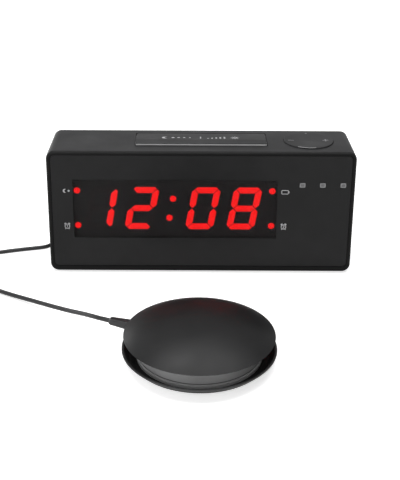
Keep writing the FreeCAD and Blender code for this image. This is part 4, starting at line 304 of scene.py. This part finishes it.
def draw_alarm_clock(design, centre, draw_numeral):
    """A small clock with two bells and two feet, and the alarm's number on its face."""
    face = (centre[0], centre[1] - 0.15)
    design.ring(face, 1.42, 0.38)
    for side in (-1, 1):
        bell = [(side * 0.45, 1.72), (side * 0.86, 2.12), (side * 1.34, 2.0), (side * 1.72, 1.62),
                (side * 1.76, 1.16), (side * 1.42, 0.96)]
        design.patch(moved(bell[::side], centre))
        design.line(moved([(side * 0.82, -1.3), (side * 1.22, -2.0)], centre), 0.42)
    draw_numeral(design, face, 1.45, 0.3)


def draw_battery(design, centre):
    design.line(moved(rounded_box((-0.2, 0), (3.9, 2.3), 0.5), centre), 0.42, closed=True)
    design.patch(moved([(1.93, -0.55), (2.42, -0.55), (2.42, 0.55), (1.93, 0.55)], centre))


def draw_sun(design, centre, radius):
    design.ring(centre, radius * 0.5, radius * 0.26)
    for turn in range(8):
        ray = [arc((0, 0), radius * reach, turn * 45, turn * 45, 1)[0] for reach in (0.78, 1.16)]
        design.line(moved(ray, centre), radius * 0.22)


SLEEP_MOON = (-80.9, 53.5)
SLEEP_STAR = (-78.65, 53.5)
STAR_REACH = 0.75
FIRST_ALARM = (-80.3, 30.7)
SECOND_ALARM = (49.8, 30.8)
BATTERY = (50.1, 53.2)
STATUS_PLACES = ((60.1, 57.7), (72.1, 57.7), (84.2, 57.7))
STATUS_FRAME = (2.75, 2.2)


def make_front_marks():
    design = Print("front_marks", Surface("front_lens", *FROM_FRONT))
    draw_crescent(design, SLEEP_MOON, 1.25)
    star = [(STAR_REACH, 0), (0, STAR_REACH), (-STAR_REACH, 0), (0, -STAR_REACH)]
    design.patch(moved(star, SLEEP_STAR))
    draw_alarm_clock(design, FIRST_ALARM, draw_numeral_one)
    draw_alarm_clock(design, SECOND_ALARM, draw_numeral_two)
    draw_battery(design, BATTERY)
    return design.finish("clock", "unlit_grey")


def make_status_frames():
    design = Print("status_frames", Level(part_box("status_windows")[0].y), sunk=-0.3)
    for place in STATUS_PLACES:
        design.line(rounded_box(place, STATUS_FRAME, 0.5), 0.55, closed=True)
    return design.finish("clock", "light_pipe")


SNOOZE_MIDDLE = 23.5
SNOOZE_MOON = -21.6
SLEEP_DOTS = (-17.0, -13.6, -10.2, -6.8)
SNOOZE_DIVIDER = -0.3
SCALE_START = 4.2
SCALE_PITCH = 2.5
SNOOZE_SUN = 20.6


def make_snooze_marks():
    """A moon with its sleep dots, a divider, and a sun with a rising scale."""
    design = Print("snooze_marks", Surface("snooze_bar", *FROM_ABOVE))
    draw_crescent(design, (SNOOZE_MOON, SNOOZE_MIDDLE), 2.1)
    for index, x in enumerate(SLEEP_DOTS):
        design.patch(circle((x, SNOOZE_MIDDLE), 0.95 - 0.12 * index, 14))
    design.line([(SNOOZE_DIVIDER, SNOOZE_MIDDLE - 2.1), (SNOOZE_DIVIDER, SNOOZE_MIDDLE + 2.1)], 0.7)
    for index in range(5):
        x = SCALE_START + SCALE_PITCH * index
        design.line([(x, SNOOZE_MIDDLE - 1.9), (x, SNOOZE_MIDDLE - 0.9 + 0.75 * index)], 1.0)
    draw_sun(design, (SNOOZE_SUN, SNOOZE_MIDDLE), 2.3)
    return design.finish("snooze_bar_body", "unlit_grey")


PAD_CENTRE = (65.0, 21.0)
PAD_EDGE_RADIUS = 14.3
MINUS = (54.3, 20.6)
PLUS = (75.2, 20.9)
PAD_DOT = (64.7, 33.4)
ARM = 1.8
ARM_HALF_WIDTH = 0.37


def make_pad_marks():
    design = Print("pad_marks", Surface("control_pad", *FROM_ABOVE))
    design.line([(MINUS[0] - ARM, MINUS[1]), (MINUS[0] + ARM, MINUS[1])], 0.75)
    arm, half = ARM, ARM_HALF_WIDTH
    plus = [(half, half), (half, arm), (-half, arm), (-half, half), (-arm, half), (-arm, -half),
            (-half, -half), (-half, -arm), (half, -arm), (half, -half), (arm, -half), (arm, half)]
    design.patch(moved(plus, PLUS))
    design.patch(circle(PAD_DOT, 0.62, 12))
    return design.finish("control_pad_body", "unlit_grey")


def make_pad_painted_highlight():
    """A painted highlight on the pad's edge, at the front."""
    design = Print("pad_painted_highlight", Surface("control_pad", *FROM_ABOVE), proud=0.06)
    design.line(arc(PAD_CENTRE, PAD_EDGE_RADIUS, 238, 282, 16), 0.4)
    return design.finish("control_pad_body", "case_black")


# The painted highlight along the snooze bar's front: half its length, the shares of that at which its points
# stand, the heights of its two lines and their width
SNOOZE_HIGHLIGHT = 39.0
SNOOZE_HIGHLIGHT_SHARES = (1, 0.985, 0.965, 0.94, 0.9, 0.7, 0.5, 0.3, 0.1)
PAINTED_HIGHLIGHT_HEIGHTS = (78.72, 79.12)
PAINTED_HIGHLIGHT_WIDTH = 0.4
# Painted highlight lines at the bar's two ends: where they stand across, and how far back they reach
SNOOZE_END_HIGHLIGHTS = (-39.2, 39.1)
SNOOZE_END_HIGHLIGHT_REACH = (13.0, 27.0)


def make_snooze_painted_highlight():
    """A painted highlight along the bar's front edge."""
    design = Print("snooze_painted_highlight", Surface("snooze_bar", *FROM_FRONT), proud=0.1)
    half = [SNOOZE_HIGHLIGHT * share for share in SNOOZE_HIGHLIGHT_SHARES]
    across = [-x for x in half] + half[::-1]
    for height in PAINTED_HIGHLIGHT_HEIGHTS:
        design.line([(x, height) for x in across], PAINTED_HIGHLIGHT_WIDTH)
    return design.finish("snooze_bar_body", "case_black")


def make_snooze_end_highlights():
    """Painted highlight lines along the edges at the two ends of the bar."""
    design = Print("snooze_end_highlights", Surface("snooze_bar", *FROM_ABOVE), proud=0.04)
    for x in SNOOZE_END_HIGHLIGHTS:
        design.line([(x, y) for y in SNOOZE_END_HIGHLIGHT_REACH], 0.3)
    return design.finish("snooze_bar_body", "case_black")


marks = {
    make_front_marks(): "mark_grey",
    make_status_frames(): "status_grey",
    make_snooze_marks(): "mark_grey",
    make_pad_marks(): "faint_grey",
    make_pad_painted_highlight(): "painted_highlight_grey",
    make_snooze_painted_highlight(): "painted_highlight_grey",
    make_snooze_end_highlights(): "painted_edge_highlight_grey",
}


# Materials

def new_material(name):
    item = bpy.data.materials.new(name)
    item.use_nodes = True
    shader = item.node_tree.nodes["Principled BSDF"]
    return item, shader


def add_node(item, kind, **settings):
    node = item.node_tree.nodes.new(kind)
    for name, value in settings.items():
        setattr(node, name, value)
    return node


def join(item, start, end):
    item.node_tree.links.new(start, end)


def noise(item, scale, detail, stretch):
    """Noise in the object's own space. The scale is in features per metre."""
    place = add_node(item, "ShaderNodeTexCoord").outputs["Object"]
    if stretch:
        mapping = add_node(item, "ShaderNodeMapping")
        mapping.inputs["Scale"].default_value = stretch
        join(item, place, mapping.inputs["Vector"])
        place = mapping.outputs["Vector"]
    node = add_node(item, "ShaderNodeTexNoise")
    node.inputs["Scale"].default_value = scale
    node.inputs["Detail"].default_value = detail
    join(item, place, node.inputs["Vector"])
    return node.outputs["Fac"]


def spread(item, source, low, high, start=0.3, end=0.7):
    """A value between start and end, stretched to run from low to high."""
    node = add_node(item, "ShaderNodeMapRange")
    for name, value in (("From Min", start), ("From Max", end), ("To Min", low), ("To Max", high)):
        node.inputs[name].default_value = value
    join(item, source, node.inputs["Value"])
    return node.outputs["Result"]


def blend_colours(item, source, first, second):
    node = add_node(item, "ShaderNodeMix", data_type="RGBA")
    node.inputs[6].default_value = (*first, 1)
    node.inputs[7].default_value = (*second, 1)
    join(item, source, node.inputs[0])
    return node.outputs[2]


def make_material(name, colour, roughness, metallic=0.0, specular=0.5, mottle=0.12, patch=70.0,
                  grain=1800.0, depth=0.02, wear=0.06, stretch=None):
    """Moulded or rolled stuff: a mottled colour, a fine grain in relief, and a finish that varies with
    handling."""
    item, shader = new_material(name)
    tone = spread(item, noise(item, patch, 4.0, stretch), 0, 1)
    dark = tuple(channel * (1 - mottle) for channel in colour)
    light = tuple(min(channel * (1 + mottle) + mottle * 0.004, 1) for channel in colour)
    join(item, blend_colours(item, tone, dark, light), shader.inputs["Base Color"])
    finish = spread(item, noise(item, patch * 0.6, 6.0, stretch), roughness - wear, roughness + wear)
    join(item, finish, shader.inputs["Roughness"])
    shader.inputs["Metallic"].default_value = metallic
    shader.inputs["Specular IOR Level"].default_value = specular
    bump = add_node(item, "ShaderNodeBump")
    bump.inputs["Strength"].default_value = 0.6
    bump.inputs["Distance"].default_value = depth * MM
    join(item, noise(item, grain, 3.0, stretch), bump.inputs["Height"])
    join(item, bump.outputs["Normal"], shader.inputs["Normal"])
    return item


def add_glow(item, colour, strength):
    shader = item.node_tree.nodes["Principled BSDF"]
    shader.inputs["Emission Color"].default_value = (*colour, 1)
    shader.inputs["Emission Strength"].default_value = strength


RED = (1.0, 0.007, 0.007)
GLOW = 1.62

MATERIALS = {
    "case_black": make_material("case_black", (0.021, 0.021, 0.022), 0.48, specular=0.16, depth=0.03),
    "button_black": make_material("button_black", (0.019, 0.019, 0.020), 0.42, specular=0.4),
    "display_black": make_material("display_black", (0.045, 0.045, 0.045), 0.6, specular=0.1,
                                   mottle=0.05, depth=0.005),
    "unlit_grey": make_material("unlit_grey", (0.05, 0.044, 0.044), 0.5, specular=0.1, mottle=0.05,
                                depth=0.005),
    "circuit_board": make_material("circuit_board", (0.02, 0.09, 0.035), 0.35, patch=220.0, mottle=0.35,
                                   grain=600.0),
    "light_pipe": make_material("light_pipe", (0.13, 0.13, 0.135), 0.3),
    "switch_black": make_material("switch_black", (0.03, 0.03, 0.031), 0.4),
    "silicone_grey": make_material("silicone_grey", (0.22, 0.22, 0.23), 0.62, grain=2400.0),
    "rubber_black": make_material("rubber_black", (0.015, 0.015, 0.015), 0.75, grain=2600.0, depth=0.04),
    "speaker_steel": make_material("speaker_steel", (0.45, 0.45, 0.46), 0.34, metallic=1.0, grain=900.0),
    "cone_paper": make_material("cone_paper", (0.05, 0.048, 0.045), 0.85, grain=1400.0, depth=0.08),
    "cell_shell": make_material("cell_shell", (0.34, 0.35, 0.36), 0.3, metallic=0.8),
    "spring_steel": make_material("spring_steel", (0.62, 0.60, 0.56), 0.25, metallic=1.0),
    "screw_steel": make_material("screw_steel", (0.42, 0.42, 0.43), 0.3, metallic=1.0, grain=900.0),
    "ribbon_grey": make_material("ribbon_grey", (0.34, 0.35, 0.36), 0.5, stretch=(12.0, 1.0, 1.0)),
    "puck_black": make_material("puck_black", (0.009, 0.009, 0.0094), 0.41, specular=0.24, depth=0.012),
    # The dish's base colour is four times the cap's black, as painted light on its outer wall; its inside is
    # darkened with painted shade further down.
    "dish_black_painted_light_and_shade": make_material("dish_black_painted_light_and_shade", (0.036, 0.036, 0.0365), 0.44, specular=0.3, depth=0.012),
    "waist_grey": make_material("waist_grey", (0.33, 0.33, 0.332), 0.42, specular=0.4),
    "motor_steel": make_material("motor_steel", (0.5, 0.5, 0.5), 0.28, metallic=1.0,
                                 stretch=(0.2, 1.0, 1.0)),
    "weight_steel": make_material("weight_steel", (0.38, 0.37, 0.36), 0.38, metallic=1.0),
    "wire_red": make_material("wire_red", (0.4, 0.02, 0.015), 0.45),
    "cord_black": make_material("cord_black", (0.018, 0.018, 0.019), 0.38, specular=0.5, grain=1200.0),
    "tie_black": make_material("tie_black", (0.02, 0.02, 0.021), 0.55, grain=900.0, depth=0.06),
    "mark_grey": make_material("mark_grey", (0.44, 0.44, 0.45), 0.5, grain=3000.0, depth=0.004),
    "status_grey": make_material("status_grey", (0.25, 0.25, 0.255), 0.5, grain=3000.0, depth=0.004),
    "faint_grey": make_material("faint_grey", (0.16, 0.16, 0.165), 0.5, grain=3000.0, depth=0.004),
    # Greys for painted highlights along edges
    "painted_edge_highlight_grey": make_material("painted_edge_highlight_grey", (0.2, 0.2, 0.202), 0.35, grain=1600.0, depth=0.006),
    "painted_highlight_grey": make_material("painted_highlight_grey", (0.36, 0.36, 0.362), 0.3, grain=1600.0, depth=0.006),
}


def own_axes(item):
    """The X, Y and Z of each place in the object's own space."""
    split = add_node(item, "ShaderNodeSeparateXYZ")
    join(item, add_node(item, "ShaderNodeTexCoord").outputs["Object"], split.inputs["Vector"])
    return split.outputs


def work_out(item, operation, first, second):
    """A sum on a socket and a number, or on two sockets."""
    node = add_node(item, "ShaderNodeMath", operation=operation)
    join(item, first, node.inputs[0])
    if isinstance(second, float):
        node.inputs[1].default_value = second
    else:
        join(item, second, node.inputs[1])
    return node.outputs[0]


def distance_from(item, source, middle):
    """How far a value lies to either side of a middle that is given in millimetres."""
    away = add_node(item, "ShaderNodeMath", operation="ABSOLUTE")
    join(item, work_out(item, "SUBTRACT", source, middle * MM), away.inputs[0])
    return away.outputs[0]


def darken(item, share, colour):
    """Gives a material another colour where the share is 0, and leaves its own where it is 1."""
    base = item.node_tree.nodes["Principled BSDF"].inputs["Base Color"]
    whole = base.links[0].from_socket
    blend = add_node(item, "ShaderNodeMix", data_type="RGBA")
    join(item, share, blend.inputs[0])
    blend.inputs[6].default_value = (*colour, 1)
    join(item, whole, blend.inputs[7])
    join(item, blend.outputs[2], base)


LENS_MIDDLE = sum(corner.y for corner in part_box("front_lens")) / 2
# The window's middle and half its size along each axis
WINDOW = (("X", -15.4, 60.9), ("Z", 41.9, 18.8))
WINDOW_ALPHA = 0.3
FILTER_ALPHA = 0.08


def make_lens():
    """Smoked plastic. Its front face lets light through only at the window, its back face all over."""
    item = make_material("lens_smoke", (0.009, 0.009, 0.0093), 0.36, specular=0.21, depth=0.002,
                         grain=260.0, wear=0.03)
    axes = own_axes(item)
    masks = [work_out(item, "LESS_THAN", distance_from(item, axes[axis], middle), half * MM)
             for axis, middle, half in WINDOW]
    opening = work_out(item, "MULTIPLY", *masks)
    back = work_out(item, "GREATER_THAN", axes["Y"], LENS_MIDDLE)
    clear = work_out(item, "MAXIMUM", opening, back)
    alpha = item.node_tree.nodes["Principled BSDF"].inputs["Alpha"]
    join(item, spread(item, clear, 1.0, WINDOW_ALPHA, 0, 1), alpha)
    return item


def make_filter():
    item = make_material("red_filter", (0.02, 0.001, 0.001), 0.3, specular=0.2)
    item.node_tree.nodes["Principled BSDF"].inputs["Alpha"].default_value = FILTER_ALPHA
    return item


# The two depths between which each band fades into what lies behind it, and its colour. The first band is
# painted shade on the rounded top front edge; the second makes the rim's front face round the lens
# near-black.
FRONT_SHADE_AND_RIM_BANDS = ((49.9, 50.3, (0.0095, 0.0095, 0.0097)), (48.63, 48.75, (0.001, 0.001, 0.001)))


def paint_front_shade_and_rim(item):
    """Darkens the case in bands near the front, as the photograph shows its edge and rim."""
    for start, end, colour in FRONT_SHADE_AND_RIM_BANDS:
        darken(item, spread(item, own_axes(item)["Y"], 0, 1, start * MM, end * MM), colour)


# In the set's own frame
PUCK_AXIS = (-1.5, -49.6)
DISH_WALL = 38.8
DISH_FADE = 0.2
# The colour of the painted shade inside the dish
DISH_INSIDE_SHADE = (0.003, 0.003, 0.003)


def paint_bowl_shade(item):
    """Darkens the inside of the dish, as the photograph shows it."""
    # Painted shade: the inside of the dish, under the cap, is darkened almost to black.
    flat = add_node(item, "ShaderNodeVectorMath", operation="MULTIPLY")
    join(item, add_node(item, "ShaderNodeTexCoord").outputs["Object"], flat.inputs[0])
    flat.inputs[1].default_value = (1, 1, 0)
    away = add_node(item, "ShaderNodeVectorMath", operation="DISTANCE")
    join(item, flat.outputs["Vector"], away.inputs[0])
    away.inputs[1].default_value = (PUCK_AXIS[0] * MM, PUCK_AXIS[1] * MM, 0)
    start, end = (DISH_WALL - DISH_FADE) * MM, (DISH_WALL + DISH_FADE) * MM
    darken(item, spread(item, away.outputs["Value"], 0, 1, start, end), DISH_INSIDE_SHADE)


SEAM_HEIGHT = 5.4
SEAM_HALF = 0.2
SEAM_FADE = 1.3
SEAM_GREY = (0.1, 0.1, 0.101)


def darken_seam(item):
    """A thin dark line round the waist at one height."""
    away = distance_from(item, own_axes(item)["Z"], SEAM_HEIGHT)
    darken(item, spread(item, away, 0, 1, SEAM_HALF * MM, SEAM_FADE * SEAM_HALF * MM), SEAM_GREY)


paint_front_shade_and_rim(MATERIALS["case_black"])
paint_bowl_shade(MATERIALS["dish_black_painted_light_and_shade"])
darken_seam(MATERIALS["waist_grey"])
MATERIALS["lens_smoke"] = make_lens()
MATERIALS["red_filter"] = make_filter()
MATERIALS["lit_red"] = make_material("lit_red", RED, 0.5)
add_glow(MATERIALS["lit_red"], RED, GLOW)

NODE_MATERIALS = {
    "case_shell": "case_black",
    "rear_cover": "case_black",
    "snooze_bar": "case_black",
    "control_pad": "case_black",
    "front_lens": "lens_smoke",
    "display_filter": "red_filter",
    "digit_frame": "display_black",
    "lit_bars": "lit_red",
    "unlit_bars": "unlit_grey",
    "indicator_dots": "lit_red",
    "display_board": "circuit_board",
    "status_board": "circuit_board",
    "key_board": "circuit_board",
    "main_board": "circuit_board",
    "status_windows": "light_pipe",
    "snooze_switch": "switch_black",
    "snooze_plunger": "switch_black",
    "button_switches": "switch_black",
    "mode_switch": "switch_black",
    "mode_knob": "button_black",
    "shaker_jack": "switch_black",
    "power_jack": "switch_black",
    "time_button": "button_black",
    "alarm_one_button": "button_black",
    "alarm_two_button": "button_black",
    "key_mat": "silicone_grey",
    "clock_feet": "rubber_black",
    "shaker_foot": "rubber_black",
    "speaker_frame": "speaker_steel",
    "speaker_cone": "cone_paper",
    "battery_door": "case_black",
    "backup_cells": "cell_shell",
    "cell_contacts": "spring_steel",
    "cover_screws": "screw_steel",
    "board_screws": "screw_steel",
    "clamp_screws": "screw_steel",
    "shaker_screws": "screw_steel",
    "display_ribbon": "ribbon_grey",
    "key_ribbon": "ribbon_grey",
    "shaker_cap": "puck_black",
    "shaker_base": "dish_black_painted_light_and_shade",
    "shaker_waist": "waist_grey",
    "shaker_strain_relief": "cord_black",
    "shaker_plug": "cord_black",
    "lead_tie": "tie_black",
    "motor_clamp": "spring_steel",
    "vibration_motor": "motor_steel",
    "eccentric_weight": "weight_steel",
    "motor_leads": "wire_red",
}


def dress(item, name):
    item.data.materials.clear()
    item.data.materials.append(MATERIALS[name])


for node, name in NODE_MATERIALS.items():
    dress(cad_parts[node], name)
dress(lead, "cord_black")
for item, name in marks.items():
    dress(item, name)


# Floor and light

FLOOR_LIFT = {"Is Camera Ray": 0.62, "Is Glossy Ray": 0.22, "Is Transmission Ray": 0.3}
# The share with no name is for every ray
WORLD_LIFT = {"": 0.25, "Is Camera Ray": 0.75, "Is Glossy Ray": 0.15, "Is Transmission Ray": 0.75}
FLOOR_HALF = 8.0


def lift_by_ray(item, shares):
    """A strength that is the sum of the shares for the kinds of ray that look."""
    path = add_node(item, "ShaderNodeLightPath")
    lift = None
    for ray, share in shares.items():
        part = add_node(item, "ShaderNodeMath", operation="MULTIPLY_ADD")
        part.inputs[1].default_value = share
        part.inputs[2].default_value = 0.0
        if ray:
            join(item, path.outputs[ray], part.inputs[0])
        else:
            part.inputs[0].default_value = 1.0
        if lift:
            join(item, lift, part.inputs[2])
        lift = part.outputs[0]
    return lift


def make_floor():
    mesh = bpy.data.meshes.new("Floor")
    half = FLOOR_HALF
    corners = [(-half, -half, 0), (half, -half, 0), (half, half, 0), (-half, half, 0)]
    mesh.from_pydata(corners, [], [(0, 1, 2, 3)])
    floor = bpy.data.objects.new("Floor", mesh)
    bpy.context.collection.objects.link(floor)
    item, shader = new_material("floor_white")
    shader.inputs["Base Color"].default_value = (0.8, 0.8, 0.8, 1)
    shader.inputs["Roughness"].default_value = 0.9
    shader.inputs["Specular IOR Level"].default_value = 0.0
    shader.inputs["Emission Color"].default_value = (1, 1, 1, 1)
    join(item, lift_by_ray(item, FLOOR_LIFT), shader.inputs["Emission Strength"])
    mesh.materials.append(item)


def add_light(name, place, target, size, power):
    data = bpy.data.lights.new(name, "AREA")
    data.shape = "RECTANGLE"
    data.size, data.size_y = size
    data.energy = power
    light = bpy.data.objects.new(name, data)
    light.location = place
    light.rotation_mode = "QUATERNION"
    light.rotation_quaternion = (Vector(target) - Vector(place)).to_track_quat("-Z", "Y")
    bpy.context.collection.objects.link(light)


def make_world():
    world = bpy.data.worlds.new("World")
    world.use_nodes = True
    background = world.node_tree.nodes["Background"]
    background.inputs["Color"].default_value = (1, 1, 1, 1)
    join(world, lift_by_ray(world, WORLD_LIFT), background.inputs["Strength"])
    bpy.context.scene.world = world


make_floor()
make_world()
add_light("Overhead", (0.0, 0.1, 1.6), (0, 0, 0), (1.8, 0.7), 21.0)
add_light("Back", (0.0, 2.2, 0.6), (0, 0, 0), (3.0, 0.7), 3.5)
add_light("LeftBack", (-1.35, 0.95, 0.3), (0, 0, 0), (1.2, 0.5), 13.0)
add_light("Front", (-0.6, -1.3, 0.7), (0, 0, 0), (1.8, 1.2), 13.0)
bpy.context.scene.view_settings.view_transform = "Standard"

bpy.context.view_layer.update()
